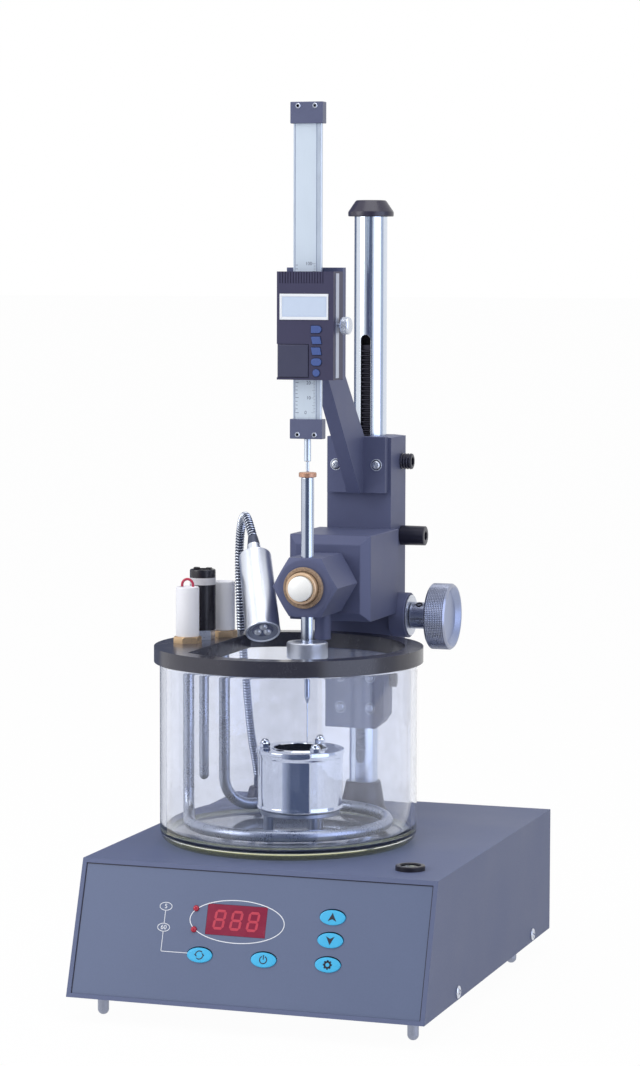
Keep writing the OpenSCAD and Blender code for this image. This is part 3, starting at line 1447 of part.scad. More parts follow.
// Thumbscrew that clamps the beam
module thumbscrew() color("#c7cede") {
    rod_x(beam_w / 2 + rest_gap, scale_x + scale_w / 2 + thumb_neck_l, beam_mid_y, thumb_z, thumb_thread_d);
    translate([scale_x + scale_w / 2 + thumb_neck_l, beam_mid_y, thumb_z]) rotate([0, 90, 0])
        ridged_disc(thumb_d, thumb_ridges, ridge_depth, thumb_t);
}

// Beam and the depth stem below its lower end block
module scale_beam() color("#cbd8e8") {
    translate([-beam_w / 2, beam_front_y, stem_top + end_inset])
        cube([beam_w, beam_t, beam_l - 2 * end_inset]);
    translate([0, beam_mid_y, stem_top - stem_l]) cylinder(h = stem_l, d = stem_d);
    translate([0, beam_mid_y, stem_top - stem_l - stem_tip_l])
        cylinder(h = stem_tip_l, d = stem_tip_d);
}

// End blocks, each with a pocket for the beam
module beam_ends() for (top = [0, 1])
    let (h = top == 1 ? high_end_h : low_end_h, z = top == 1 ? beam_top - high_end_h : stem_top)
        color("#3d3f58") difference() {
            translate([-end_w / 2, beam_mid_y - end_t / 2, z]) cube([end_w, end_t, h]);
            translate([-beam_w / 2, beam_front_y, top == 1 ? z - over : z + end_inset])
                cube([beam_w, beam_t, h - end_inset + over]);
        }

// Lamp

neck_r = neck_tube_d / 2;
rib_pitch = (route_l - 2 * neck_straight) / neck_ribs;
ring_sides = 8;
// Distance and radius of each outer ring, two for each rib
outer_rings = concat([[0, neck_r - rib_depth], [neck_straight, neck_r - rib_depth]],
    [for (i = [0:neck_ribs - 1], k = [0, 1])
        [neck_straight + (i + (k + 1) / 2 - 0.25) * rib_pitch, neck_r - k * rib_depth]],
    [[route_l - neck_straight / 2, neck_r - rib_depth], [route_l, neck_r - rib_depth]]);
bore_rings = [for (i = [0:neck_ribs / 2]) [route_l * i / (neck_ribs / 2), neck_bore_d / 2]];
neck_rings = concat(outer_rings, [for (i = [len(bore_rings) - 1:-1:0]) bore_rings[i]]);
// Smallest clear distance of the neck to itself
neck_gap = min([for (i = [0:10:len(outer_rings) - 1], j = [i + 10:10:len(outer_rings) - 1])
    if (outer_rings[j][0] - outer_rings[i][0] > 2 * neck_tube_d)
        norm(along_route(outer_rings[j][0]) - along_route(outer_rings[i][0])) - neck_tube_d]);
echo(gooseneck_length = route_l, gooseneck_gap_to_itself = neck_gap);

// Ribbed tube with its bore, swept along the route
module gooseneck() color("#a9adba") polyhedron(
    points = [for (ring = neck_rings) each ring_at(ring[0], ring[1], ring_sides)],
    faces = [for (i = [0:len(neck_rings) - 1], k = [0:ring_sides - 1], half = [0, 1])
        let (j = (i + 1) % len(neck_rings), n = (k + 1) % ring_sides,
            a = i * ring_sides + k, b = i * ring_sides + n,
            c = j * ring_sides + n, d = j * ring_sides + k)
        half == 0 ? [a, c, b] : [a, d, c]]);

// Places a child at the lamp's rear end
module at_lamp() translate(lamp_start)
    rotate([0, acos(lamp_dir[2]), atan2(lamp_dir[1], lamp_dir[0])]) children();

// Lamp head with ferrule and lens, and the socket on the box
module lamp_head() {
    color("#c7ccd6") at_lamp() difference() {
        union() {
            cylinder(h = lamp_l, d1 = lamp_rear_d, d2 = lamp_front_d);
            translate([0, 0, -lamp_ferrule_l])
                cylinder(h = lamp_ferrule_l, d1 = neck_tube_d, d2 = lamp_ferrule_d);
        }
        translate([0, 0, lamp_l - lamp_recess])
            cylinder(h = lamp_recess + over, d = lamp_front_d - 2 * lamp_rim);
    }
    color("#6f7688") at_lamp() translate([0, 0, lamp_l - lamp_recess + seat_fit])
        cylinder(h = lens_t, d = lamp_front_d - 2 * lamp_rim - 2 * seat_fit);
    color("#2b2937") translate([lamp_foot[0], lamp_foot[1], base_top])
        cylinder(h = lamp_socket_h, d1 = lamp_socket_d, d2 = lamp_socket_d - lamp_socket_h / 2);
}

base_cover();
front_panel();
bottom_plate();
cover_screws();
display_window();
control_board();
panel_key(0);  // key_refresh
panel_key(1);  // key_power
panel_key(2);  // key_up
panel_key(3);  // key_down
panel_key(4);  // key_gear
foot(-foot_x, foot_ys[0]);  // foot_front_left
foot(foot_x, foot_ys[0]);  // foot_front_right
foot(-foot_x, foot_ys[1]);  // foot_rear_left
foot(foot_x, foot_ys[1]);  // foot_rear_right
bubble_level();
power_inlet();
power_rocker();
glass_bath();
bath_lid();
heater_tube();
temperature_probe();
terminal_nuts();
terminal_sleeves();
terminal_wire();
cup_stand();
sample_cup();
cup_lid();
column();
column_rack();
column_cap();
column_socket();
lift_body();
lift_screws();
side_screws();
shaft_bearing();
pinion_shaft();
knob();
head_block();
hex_head();
button_collar();
release_button();
button_spring();
plunger_rod();
plunger_weight();
needle();
scale_bracket();
scale_head();
scale_lcd();
small_key(0);  // scale_key_1
small_key(1);  // scale_key_2
small_key(2);  // scale_key_3
small_key(3);  // scale_key_4
small_key(4);  // scale_key_5
battery_cover();
thumbscrew();
scale_beam();
beam_ends();
gooseneck();
lamp_head();
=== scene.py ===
# %% [markdown]
# # Bitumen penetrometer
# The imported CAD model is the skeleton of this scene. Every piece below is modelled in
# metres in its frame, so a piece goes where its CAD node is. The operator stands on the
# -Y side, the knob is on +X and the bench is z = 0.

# %% Load the frame
import math

import bpy
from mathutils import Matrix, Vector


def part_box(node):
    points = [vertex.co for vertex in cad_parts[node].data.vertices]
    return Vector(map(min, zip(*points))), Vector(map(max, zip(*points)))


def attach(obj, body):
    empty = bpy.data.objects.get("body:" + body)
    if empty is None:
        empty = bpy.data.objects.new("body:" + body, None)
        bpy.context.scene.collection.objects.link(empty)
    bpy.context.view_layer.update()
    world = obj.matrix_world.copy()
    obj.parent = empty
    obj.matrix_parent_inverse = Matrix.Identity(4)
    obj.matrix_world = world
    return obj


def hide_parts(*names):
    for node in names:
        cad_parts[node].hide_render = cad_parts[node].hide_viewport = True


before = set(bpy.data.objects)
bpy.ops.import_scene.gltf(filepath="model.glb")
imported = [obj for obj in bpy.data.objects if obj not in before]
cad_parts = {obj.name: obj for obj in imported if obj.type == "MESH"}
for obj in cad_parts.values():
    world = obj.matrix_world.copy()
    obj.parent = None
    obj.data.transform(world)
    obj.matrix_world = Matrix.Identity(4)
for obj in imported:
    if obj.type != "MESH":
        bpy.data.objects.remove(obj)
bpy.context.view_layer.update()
MM = 0.001

# %% [markdown]
# ## Camera
# The photograph was taken from the front right, a little above the middle of the column,
# with a long lens that keeps the column nearly upright.

# %% Camera
camera_place = Vector((0.6811, -2.019, 0.49075))
camera_yaw = 0.32604
camera_pitch = 0.083101
camera_roll = -0.0025
bpy.ops.object.camera_add(location=camera_place)
camera = bpy.context.object
camera.name = "photo_camera"
camera.data.lens = 105.39
camera.data.clip_start = 0.05
camera.rotation_euler = (math.pi / 2 - camera_pitch, camera_roll, camera_yaw)
bpy.context.scene.camera = camera
bpy.context.scene.view_settings.view_transform = "Standard"
print("camera", tuple(camera_place))

# %% [markdown]
# ## Light
# A white world lights the bench from all sides and two large soft lamps give the edges
# their highlights. Cards beside the object show only in its mirrors and its glass, as a
# photographer's would: dark ones give the chrome its stripes, and a bright one adds
# a gleam. The floor keeps the object's shadow.

# %% Helpers for nodes and colours
def linear(code):
    """sRGB hex colour as the linear RGBA that a shader takes."""
    channels = [int(code[i:i + 2], 16) / 255 for i in (1, 3, 5)]
    return (*[c / 12.92 if c <= 0.04045 else ((c + 0.055) / 1.055) ** 2.4 for c in channels], 1)


def add(tree, kind, inputs=None, **settings):
    """Adds a shader node. inputs maps a socket to a value or to another node's output."""
    node = tree.nodes.new("ShaderNode" + kind)
    for key, value in settings.items():
        setattr(node, key, value)
    for key, value in (inputs or {}).items():
        if isinstance(value, bpy.types.NodeSocket):
            tree.links.new(value, node.inputs[key])
        else:
            node.inputs[key].default_value = value
    return node


# %% World, lamps, flags and floor
def seen_directly(tree):
    """1 for rays from the camera, a mirror or the glass, and 0 for those that only light."""
    path = add(tree, "LightPath")
    seen = path.outputs["Is Camera Ray"]
    for ray in ("Is Glossy Ray", "Is Transmission Ray"):
        seen = add(tree, "Math", {0: seen, 1: path.outputs[ray]}, operation="MAXIMUM").outputs[0]
    return seen


def blank_material(name):
    """A material and its node tree, which starts empty."""
    material = bpy.data.materials.new(name)
    material.use_nodes = True
    material.node_tree.nodes.clear()
    return material, material.node_tree


world = bpy.data.worlds.new("white_studio")
bpy.context.scene.world = world
world.use_nodes = True
sky = world.node_tree
sky.nodes.clear()
studio_light = add(sky, "Background", {"Color": linear("#FFFFFF"), "Strength": 0.62})
studio_white = add(sky, "Background", {"Color": linear("#FFFFFF"), "Strength": 1.0})
choice = add(sky, "MixShader",
             {0: seen_directly(sky), 1: studio_light.outputs[0], 2: studio_white.outputs[0]})
add(sky, "OutputWorld", {"Surface": choice.outputs[0]})


def softbox(name, place, target, width, height, power):
    """Adds a large rectangular lamp that faces a point."""
    bpy.ops.object.light_add(type="AREA", location=place)
    lamp = bpy.context.object
    lamp.name = name
    lamp.data.shape = "RECTANGLE"
    lamp.data.size, lamp.data.size_y = width, height
    lamp.data.energy = power
    lamp.rotation_euler = (Vector(target) - Vector(place)).to_track_quat("-Z", "Y").to_euler()


middle_of_object = (0, 0, 0.3)
softbox("left_softbox", (-1.3, -1.2, 1.1), middle_of_object, 1.0, 1.4, 13)
softbox("top_softbox", (0.2, -0.4, 1.9), middle_of_object, 1.4, 1.4, 12)


def cloth(name, left, right, from_x, to_x, strength=1.0):
    """Cloth that changes from one tone to another across a card of one unit."""
    material, tree = blank_material(name)
    across = add(tree, "SeparateXYZ", {0: add(tree, "TexCoord").outputs["Object"]}).outputs["X"]
    share = add(tree, "MapRange", {"Value": across, "From Min": from_x, "From Max": to_x}).outputs[0]
    tone = add(tree, "MixRGB", {"Fac": share, "Color1": linear(left), "Color2": linear(right)}).outputs[0]
    light = add(tree, "Emission", {"Color": tone, "Strength": strength}).outputs[0]
    add(tree, "OutputMaterial", {"Surface": light})
    return material


def flag(name, place, width, height, turn, material, through_glass=True):
    """Adds a card that shows in mirrors and, where allowed, through glass, and nowhere else."""
    bpy.ops.mesh.primitive_plane_add(size=1, location=place, rotation=(math.pi / 2, 0, turn))
    card = bpy.context.object
    card.name = name
    card.scale = (width, height, 1)
    card.data.materials.append(material)
    card.visible_camera = False
    card.visible_diffuse = False
    card.visible_shadow = False
    card.visible_transmission = through_glass


front_cloth = cloth("front_flag_cloth", "#DDE2EC", "#5F6980", -0.5, -0.14)
left_cloth = cloth("left_flag_cloth", "#565F76", "#7C86A0", -0.5, 0.5)
right_cloth = cloth("right_flag_cloth", "#B4BED2", "#C4CCDC", -0.5, 0.5)
bright_cloth = cloth("bright_card_cloth", "#DCE6FF", "#DCE6FF", -0.5, 0.5, strength=2.6)
flag("front_flag", (0.069, -0.596, 0.8), 0.84, 1.6, 0.115, front_cloth)
flag("left_flag", (-0.465, 0.41, 0.8), 0.46, 1.6, -2.293, left_cloth, through_glass=False)
flag("right_flag", (1.5, 0.5, 0.4), 0.7, 2.2, -math.pi / 2, right_cloth)
flag("bright_card", (0.966, -0.333, 0.6), 0.92, 1.2, 1.24, bright_cloth)

floor_white_share = 0.97
bpy.ops.mesh.primitive_plane_add(size=120, location=(0, 0, 0))
floor = bpy.context.object
floor.name = "pale_floor"
floor_paint, tree = blank_material("pale_floor_paint")
white_part = add(tree, "Math", {0: seen_directly(tree), 1: floor_white_share}, operation="MULTIPLY")
matt = add(tree, "BsdfDiffuse", {"Color": linear("#F4F4F6")})
glow = add(tree, "Emission", {"Color": linear("#FFFFFF"), "Strength": 1.0})
blend = add(tree, "MixShader", {0: white_part.outputs[0], 1: matt.outputs[0], 2: glow.outputs[0]})
add(tree, "OutputMaterial", {"Surface": blend.outputs[0]})
floor.data.materials.append(floor_paint)
print("studio ready")

# %% [markdown]
# ## Finishes
# One function makes a solid finish from what the real surface has: a colour that drifts
# a little, a roughness that drifts with it and a relief at the size of its grain. Turned
# metal gets rings round its own axis, and brushed metal gets its grain drawn out.

# %% Finish maker
def surface(name, colour, rough, metal=0.0, grain=0.5, relief=0.0, drift=0.06, patch=14.0,
            rough_drift=0.08, stretch=(1, 1, 1), rings=None, **sockets):
    """A procedural finish. grain and patch are sizes in millimetres, relief its depth in
    millimetres, and rings an axis letter with the two coordinates of the turning axis."""
    material, tree = blank_material(name)
    place = add(tree, "TexCoord").outputs["Object"]
    if rings:
        axis, centre = rings
        keep = [0 if letter == axis else 1 for letter in "XYZ"]
        offset = [c * k for c, k in zip(centre, keep)]
        flat = add(tree, "VectorMath", {0: place, 1: keep}, operation="MULTIPLY").outputs[0]
        away = add(tree, "VectorMath", {0: flat, 1: offset}, operation="DISTANCE").outputs["Value"]
        fine = add(tree, "TexNoise", {"W": away, "Scale": 1 / (grain * MM), "Detail": 3.0},
                   noise_dimensions="1D").outputs[0]
    else:
        drawn = add(tree, "Mapping", {"Vector": place, "Scale": stretch}).outputs[0]
        fine = add(tree, "TexNoise", {"Vector": drawn, "Scale": 1 / (grain * MM), "Detail": 3.0}).outputs[0]
    broad = add(tree, "TexNoise", {"Vector": place, "Scale": 1 / (patch * MM), "Detail": 4.0}).outputs[0]
    mixed = add(tree, "Math", {0: fine, 1: broad}, operation="ADD").outputs[0]
    tone = add(tree, "MapRange", {"Value": mixed, "From Min": 0.6, "From Max": 1.4,
                                  "To Min": 1 - drift, "To Max": 1 + drift}).outputs[0]
    tint = add(tree, "VectorMath", {0: linear(colour)[:3], "Scale": tone}, operation="SCALE").outputs[0]
    dull = add(tree, "MapRange", {"Value": mixed, "From Min": 0.6, "From Max": 1.4,
                                  "To Min": max(rough - rough_drift, 0.02),
                                  "To Max": min(rough + rough_drift, 1.0)}).outputs[0]
    shader = add(tree, "BsdfPrincipled", {"Base Color": tint, "Roughness": dull, "Metallic": metal,
                                          **sockets})
    if relief:
        bump = add(tree, "Bump", {"Height": fine, "Distance": relief * MM, "Strength": 1.0})
        tree.links.new(bump.outputs[0], shader.inputs["Normal"])
    add(tree, "OutputMaterial", {"Surface": shader.outputs[0]})
    return material


# %% [markdown]
# ## Tools of the model shop
# Most of this instrument is turned on a lathe. A turned piece starts as a disc, which is
# extruded and resized from one step of its profile to the next, as it would be by hand.
# Sawn and milled pieces start from their CAD solid: its triangles are merged, its flat
# faces cleared of seams and its edges broken with a small bevel.

# %% Selecting and finishing
def object_mode():
    """Leaves edit mode and deselects everything."""
    if bpy.context.object and bpy.context.object.mode != "OBJECT":
        bpy.ops.object.mode_set(mode="OBJECT")
    bpy.ops.object.select_all(action="DESELECT")


def only(piece):
    """Makes a piece the one selected and active object."""
    object_mode()
    piece.select_set(True)
    bpy.context.view_layer.objects.active = piece
    return piece


def discard(piece):
    """Deletes a piece that has done its work."""
    only(piece)
    bpy.ops.object.delete()


def select_faces(piece, wanted):
    """In edit mode, selects the faces whose centre and normal pass a test."""
    bpy.ops.mesh.select_mode(type="FACE")
    bpy.ops.mesh.select_all(action="DESELECT")
    bpy.ops.object.mode_set(mode="OBJECT")
    for face in piece.data.polygons:
        face.select = wanted(face.center, face.normal)
    bpy.ops.object.mode_set(mode="EDIT")


def apply_modifier(piece, kind, **settings):
    """Adds a modifier and applies it."""
    only(piece)
    modifier = piece.modifiers.new(kind.lower(), kind)
    for key, value in settings.items():
        setattr(modifier, key, value)
    bpy.ops.object.modifier_apply(modifier=modifier.name)
    return piece


def cut(piece, tool, operation="DIFFERENCE"):
    """Cuts a piece with a tool, or keeps what both share, and deletes the tool."""
    apply_modifier(piece, "BOOLEAN", object=tool, operation=operation, solver="EXACT")
    discard(tool)


def settle(piece):
    """Puts a piece's place and turn into its mesh."""
    only(piece)
    bpy.ops.object.transform_apply(location=True, rotation=True, scale=True)
    return piece


def join(name, pieces):
    """Joins pieces into one object."""
    only(pieces[0])
    for piece in pieces:
        piece.select_set(True)
    bpy.ops.object.join()
    joined = bpy.context.object
    joined.name = joined.data.name = name
    return joined


def dress(piece, material, body, nodes=(), smooth=32):
    """Gives a piece its finish and its body, and hides the CAD nodes that it stands for."""
    only(piece)
    bpy.ops.object.shade_smooth_by_angle(angle=math.radians(smooth))
    apply_modifier(piece, "WEIGHTED_NORMAL", keep_sharp=True)
    piece.data.materials.clear()
    piece.data.materials.append(material)
    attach(piece, body)
    if nodes:
        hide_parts(*nodes)
    return piece


def inlay(piece, material, wanted):
    """Gives the faces whose middle passes a test a further finish."""
    piece.data.materials.append(material)
    for face in piece.data.polygons:
        if wanted(face.center):
            face.material_index = len(piece.data.materials) - 1

# %% Turned and milled pieces
def turned(name, steps, sides=64, ring=False, at=(0, 0, 0), towards=(0, 0, 1), unit=MM):
    """Extrudes a disc, or a ring for a piece with a hole, through (radius, height) steps in
    millimetres or another unit, then turns its axis from +Z and moves it to its place."""
    object_mode()
    profile = [(r * unit, z * unit) for r, z in steps]
    radius, height = profile[0]
    bpy.ops.mesh.primitive_circle_add(vertices=sides, radius=radius, location=(0, 0, height),
                                      fill_type="NOTHING" if ring else "NGON")
    piece = bpy.context.object
    piece.name = piece.data.name = name
    bpy.ops.object.mode_set(mode="EDIT")
    bpy.ops.mesh.select_mode(type="EDGE" if ring else "FACE")
    bpy.ops.mesh.select_all(action="SELECT")
    extrude = bpy.ops.mesh.extrude_edges_move if ring else bpy.ops.mesh.extrude_region_move
    for next_radius, next_height in profile[1:]:
        extrude(TRANSFORM_OT_translate={"value": (0, 0, next_height - height)})
        grow = next_radius / radius
        bpy.ops.transform.resize(value=(grow, grow, 1), center_override=(0, 0, next_height))
        radius, height = next_radius, next_height
    bpy.ops.mesh.select_all(action="SELECT")
    bpy.ops.mesh.remove_doubles(threshold=0.002 * MM)
    bpy.ops.mesh.normals_make_consistent(inside=False)
    bpy.ops.object.mode_set(mode="OBJECT")
    bpy.ops.object.transform_apply(location=True)
    piece.rotation_euler = Vector(towards).to_track_quat("Z", "Y").to_euler()
    piece.location = at
    return settle(piece)


def turned_piece(name, steps, material, body, slot, nodes=(), smooth=32, **lathe):
    """Turns a piece and dresses it."""
    return dress(turned(name, steps, **lathe), material, body, nodes, smooth)


def arc(centre_r, centre_z, radius, start, end, steps=8):
    """Points of a circular arc in a profile, its angles in degrees from the radius."""
    angles = [math.radians(start + (end - start) * i / steps) for i in range(steps + 1)]
    return [(centre_r + radius * math.cos(a), centre_z + radius * math.sin(a)) for a in angles]


def milled(node, name, edge=0.4, segments=2):
    """Copies a CAD solid, merges its triangles, clears its flat faces and breaks its edges."""
    object_mode()
    sharp = math.radians(30)
    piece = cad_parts[node].copy()
    piece.data = piece.data.copy()
    bpy.context.collection.objects.link(piece)
    piece.parent = None
    for key in [k for k in piece.keys() if k.startswith("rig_")]:
        del piece[key]
    piece.name = piece.data.name = name
    only(piece)
    bpy.ops.object.mode_set(mode="EDIT")
    bpy.ops.mesh.select_all(action="SELECT")
    bpy.ops.mesh.remove_doubles(threshold=0.001 * MM)
    bpy.ops.mesh.dissolve_limited(angle_limit=math.radians(0.3))
    bpy.ops.object.mode_set(mode="OBJECT")
    bpy.ops.object.shade_smooth_by_angle(angle=sharp)
    if edge:
        apply_modifier(piece, "BEVEL", width=edge * MM, segments=segments, limit_method="ANGLE",
                       angle_limit=sharp, harden_normals=False)
    return piece


def milled_piece(node, name, material, body, slot, smooth=32, **mill):
    """Mills a CAD solid's copy and dresses it in that solid's place."""
    return dress(milled(node, name, **mill), material, body, [node], smooth)


def block(name, middle, size, edge=0.0, segments=2, turn=0.0):
    """A sawn block with broken edges, from its middle and its size in millimetres."""
    object_mode()
    bpy.ops.mesh.primitive_cube_add(size=1, location=[c * MM for c in middle], rotation=(0, 0, turn))
    piece = bpy.context.object
    piece.name = piece.data.name = name
    piece.scale = [s * MM for s in size]
    settle(piece)
    if edge:
        apply_modifier(piece, "BEVEL", width=edge * MM, segments=segments)
    return piece


def thicken(height):
    """Extrudes the flat piece that was just added upwards."""
    bpy.ops.object.mode_set(mode="EDIT")
    bpy.ops.mesh.select_all(action="SELECT")
    bpy.ops.mesh.extrude_region_move(TRANSFORM_OT_translate={"value": (0, 0, height)})
    bpy.ops.mesh.select_all(action="SELECT")
    bpy.ops.mesh.normals_make_consistent(inside=False)
    bpy.ops.object.mode_set(mode="OBJECT")


def copied(piece, name):
    """Copies a piece with a mesh of its own."""
    twin = piece.copy()
    twin.data = piece.data.copy()
    bpy.context.collection.objects.link(twin)
    twin.name = twin.data.name = name
    twin.parent = None
    return settle(twin)


def ends(node):
    """Lowest corner, highest corner and middle of a CAD node."""
    low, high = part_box(node)
    return low, high, (low + high) / 2

# %% [markdown]
# ## Control box
# A folded steel cover, powder coated blue-grey, with a slightly glossier front panel let
# into its sloping face. The coat's orange peel is under a millimetre wide.

# %% Control box
powder_coat = surface("powder_coated_steel", "#5A6486", 0.58, grain=0.9, relief=0.012, patch=60,
                      drift=0.03)
panel_coat = surface("printed_panel_lacquer", "#5F6B8A", 0.46, grain=1.2, relief=0.006, patch=90,
                     drift=0.04)
tray_zinc = surface("galvanised_tray", "#7E8596", 0.5, metal=0.8, grain=3, patch=12, drift=0.1)
board_green = surface("glass_fibre_board", "#3F6B52", 0.45, grain=0.4, relief=0.01)
cover = milled_piece("base_cover", "folded_cover", powder_coat, "root", "painted_cover", edge=0.5)
milled_piece("front_panel", "sloping_panel", panel_coat, "root", "painted_panel", edge=0.25)
milled_piece("bottom_plate", "bottom_tray", tray_zinc, "root", "zinc_sheet", edge=0.3)
board = milled_piece("control_board", "display_board", board_green, "root", "board", edge=0)
cover_low, cover_high, _ = ends("base_cover")
print("cover", len(cover.data.polygons), "faces")

# %% [markdown]
# ## Prints on the panel
# A white oval frames the red display, two small ovals stand for the timer's steps, and a
# line runs from them to a key. Each is a flat ring or strip, a tenth of a millimetre
# thick or less. Real ink is thinner still, but that is too thin to model safely. Dark
# strips round the panel are painted shadow, in the gap between the panel and the cover.

# %% Panel ink
def reach(node, way):
    """How far a CAD node reaches along a direction."""
    return max(vertex.co.dot(way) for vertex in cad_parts[node].data.vertices)


panel_setback, panel_rise = 30, 87.5
panel_lean = math.atan2(panel_setback, panel_rise)
window_middle = ends("display_window")[2]
panel_out = Vector((0, -math.cos(panel_lean), math.sin(panel_lean)))
panel_up = Vector((0, math.sin(panel_lean), math.cos(panel_lean)))
panel_level = reach("front_panel", panel_out)
window_face = window_middle + panel_out * (panel_level - window_middle.dot(panel_out))
window_proud = (reach("display_window", panel_out) - panel_level) / MM
print("panel level", round(panel_level, 5), "window proud", round(window_proud, 3), "mm")
white_ink = surface("white_screen_ink", "#E6E9F0", 0.5, grain=0.3, relief=0.004)
# The dark ink prints the key signs and also paints the shadow in the gap round the panel.
dark_ink_and_gap_shadow = surface("dark_screen_ink_and_painted_gap_shadow", "#2C2A38", 0.45, grain=0.3, relief=0.004)
INK = 0.09


def on_panel(piece, right, up, lift=0.0):
    """Moves a piece drawn flat round the origin onto the panel, by millimetres from the
    display's middle."""
    piece.rotation_euler = (math.pi / 2 - panel_lean, 0, 0)
    piece.location = window_face + Vector((right * MM, 0, 0)) + panel_up * up * MM + panel_out * lift * MM
    return settle(piece)


def ink_ring(name, wide, high, line):
    """A flat oval ring of ink, bent from a round ring of radius 1."""
    half = line / 2 * MM
    piece = turned(name, [(1 - half, 0), (1 - half, INK * MM), (1 + half, INK * MM), (1 + half, 0),
                          (1 - half, 0)], sides=96, ring=True, unit=1)
    for vertex in piece.data.vertices:
        outward = vertex.co.xy.length - 1
        angle = math.atan2(vertex.co.y, vertex.co.x)
        normal = Vector((math.cos(angle) / wide, math.sin(angle) / high)).normalized()
        vertex.co.x = wide * MM / 2 * math.cos(angle) + normal.x * outward
        vertex.co.y = high * MM / 2 * math.sin(angle) + normal.y * outward
    return piece


def ink_strip(name, start, end, line, ink=INK):
    """A flat strip of ink between two points, in millimetres."""
    run = Vector(end) - Vector(start)
    object_mode()
    bpy.ops.mesh.primitive_plane_add(size=1, location=(0, 0, 0))
    piece = bpy.context.object
    piece.name = name
    thicken(ink * MM)
    piece.scale = (run.length * MM + line * MM, line * MM, 1)
    piece.rotation_euler = (0, 0, math.atan2(run.y, run.x))
    piece.location = ((start[0] + end[0]) / 2 * MM, (start[1] + end[1]) / 2 * MM, 0)
    return settle(piece)


def number(name, figures, size, ink=INK):
    """A plain number in ink, centred on the origin."""
    object_mode()
    bpy.ops.object.text_add(location=(0, 0, 0))
    piece = bpy.context.object
    piece.data.body = figures
    piece.data.size = size * MM
    piece.data.extrude = ink * MM / 2
    piece.data.align_x, piece.data.align_y = "CENTER", "CENTER"
    bpy.ops.object.convert(target="MESH")
    piece = bpy.context.object
    piece.name = piece.data.name = name
    return settle(piece)


# Painted shadow: dark strips along three edges of the panel stand in for the shade in its gap.
gap_left, gap_right, gap_low, gap_high, gap_w = -109.0, 130.5, -55.7, 31.2, 0.7
gap_corners = ((gap_right, gap_low), (gap_right, gap_high), (gap_left, gap_high), (gap_left, gap_low))
gap_lines = [on_panel(ink_strip(f"painted_gap_strip_{i}", gap_corners[i], gap_corners[i + 1], gap_w), 0, 0)
             for i in range(3)]
dress(join("painted_panel_gap_shadow", gap_lines), dark_ink_and_gap_shadow, "root")

timer_x, upper_timer, lower_timer, thin_line = -49.8, 6.2, -7.6, 0.4
printed = [on_panel(ink_ring("display_oval", 65.2, 27.8, 0.55), 0.5, -0.7)]
for word, figures, up in (("upper", "5", upper_timer), ("lower", "60", lower_timer)):
    printed.append(on_panel(ink_ring(f"timer_oval_{word}", 8.4, 5.2, thin_line), timer_x, up))
    printed.append(on_panel(number(f"timer_number_{figures}", figures, 4.2), timer_x, up))
for name, end, right, up in (("timer_line_1", (0, 8.6), timer_x, -5.0),
                             ("timer_line_2", (0, 12.6), timer_x, -22.8),
                             ("timer_line_3", (18.0, 0), timer_x + thin_line, -23.2)):
    printed.append(on_panel(ink_strip(name, (0, 0), end, thin_line), right, up))
panel_print = dress(join("panel_print", printed), white_ink, "root")
print("panel print", len(panel_print.data.polygons), "faces")

# %% [markdown]
# ## Display and lamps
# The display is a red filter over three seven-segment digits. Switched off, the segments
# still show as a paler red. Two small red lamps sit on the oval's left.

# %% Display
red_filter = surface("red_acrylic_filter", "#861C3C", 0.22, grain=6, patch=20, drift=0.08)
segment_red = surface("unlit_segment", "#C03A50", 0.35, grain=2, drift=0.05)
lamp_red = surface("red_indicator_resin", "#B0203A", 0.25, grain=2, drift=0.05)
milled_piece("display_window", "display_filter", red_filter, "root", "red_filter", edge=0.2)
digit_w, digit_h, digit_step, bar_w, digit_slant, bar_gap = 6.2, 11.4, 11.6, 1.7, 0.13, 0.4


def segment(name, middle, length, upright):
    """One bar of a digit with pointed ends, leaning as the digits do."""
    object_mode()
    bpy.ops.mesh.primitive_circle_add(vertices=6, radius=1, fill_type="NGON")
    bar = bpy.context.object
    bar.name = name
    thicken(1)
    for vertex in bar.data.vertices:
        tip = abs(vertex.co.x) < 0.1
        along = math.copysign(length / 2 - (0 if tip else bar_w / 2), vertex.co.y)
        across = 0 if tip else math.copysign(bar_w / 2, vertex.co.x)
        x, y = (across, along) if upright else (along, across)
        vertex.co.x = (middle[0] + x + digit_slant * (middle[1] + y)) * MM
        vertex.co.y = (middle[1] + y) * MM
        vertex.co.z = vertex.co.z * INK * MM
    return bar


bars = []
for digit, centre in enumerate((-digit_step, 0.0, digit_step)):
    for row in (-1, 0, 1):
        bars.append(segment(f"bar_{digit}_{row}", (centre, row * digit_h / 2), digit_w, False))
    for side in (-1, 1):
        for row in (-1, 1):
            middle = (centre + side * digit_w / 2, row * digit_h / 4)
            bars.append(segment(f"bar_{digit}_{side}_{row}", middle, digit_h / 2 - bar_gap, True))
digits = on_panel(join("display_digits", bars), 0, 0, window_proud)
dress(digits, segment_red, "root")
lamp_reach = 3 * MM
inlay(board, lamp_red, lambda middle: middle.dot(panel_out) > panel_level - lamp_reach)
print("display digits", len(digits.data.polygons), "faces")

# %% [markdown]
# ## Panel keys
# Five oval keys of cyan silicone with a dark sign on each. A key is a flat oval with a
# rounded rim, so it is a turned disc stretched sideways.

# %% Panel keys
cyan_rubber = surface("cyan_silicone_key", "#3FB4E6", 0.42, grain=0.7, relief=0.008, drift=0.04)
SIGN_SCALE, KEY_TOP = 1.2, 1.03


def key_face(node):
    """Millimetres from the display's middle to a key's middle."""
    middle = ends(node)[2] - window_face
    return middle.x / MM, middle.dot(panel_up) / MM


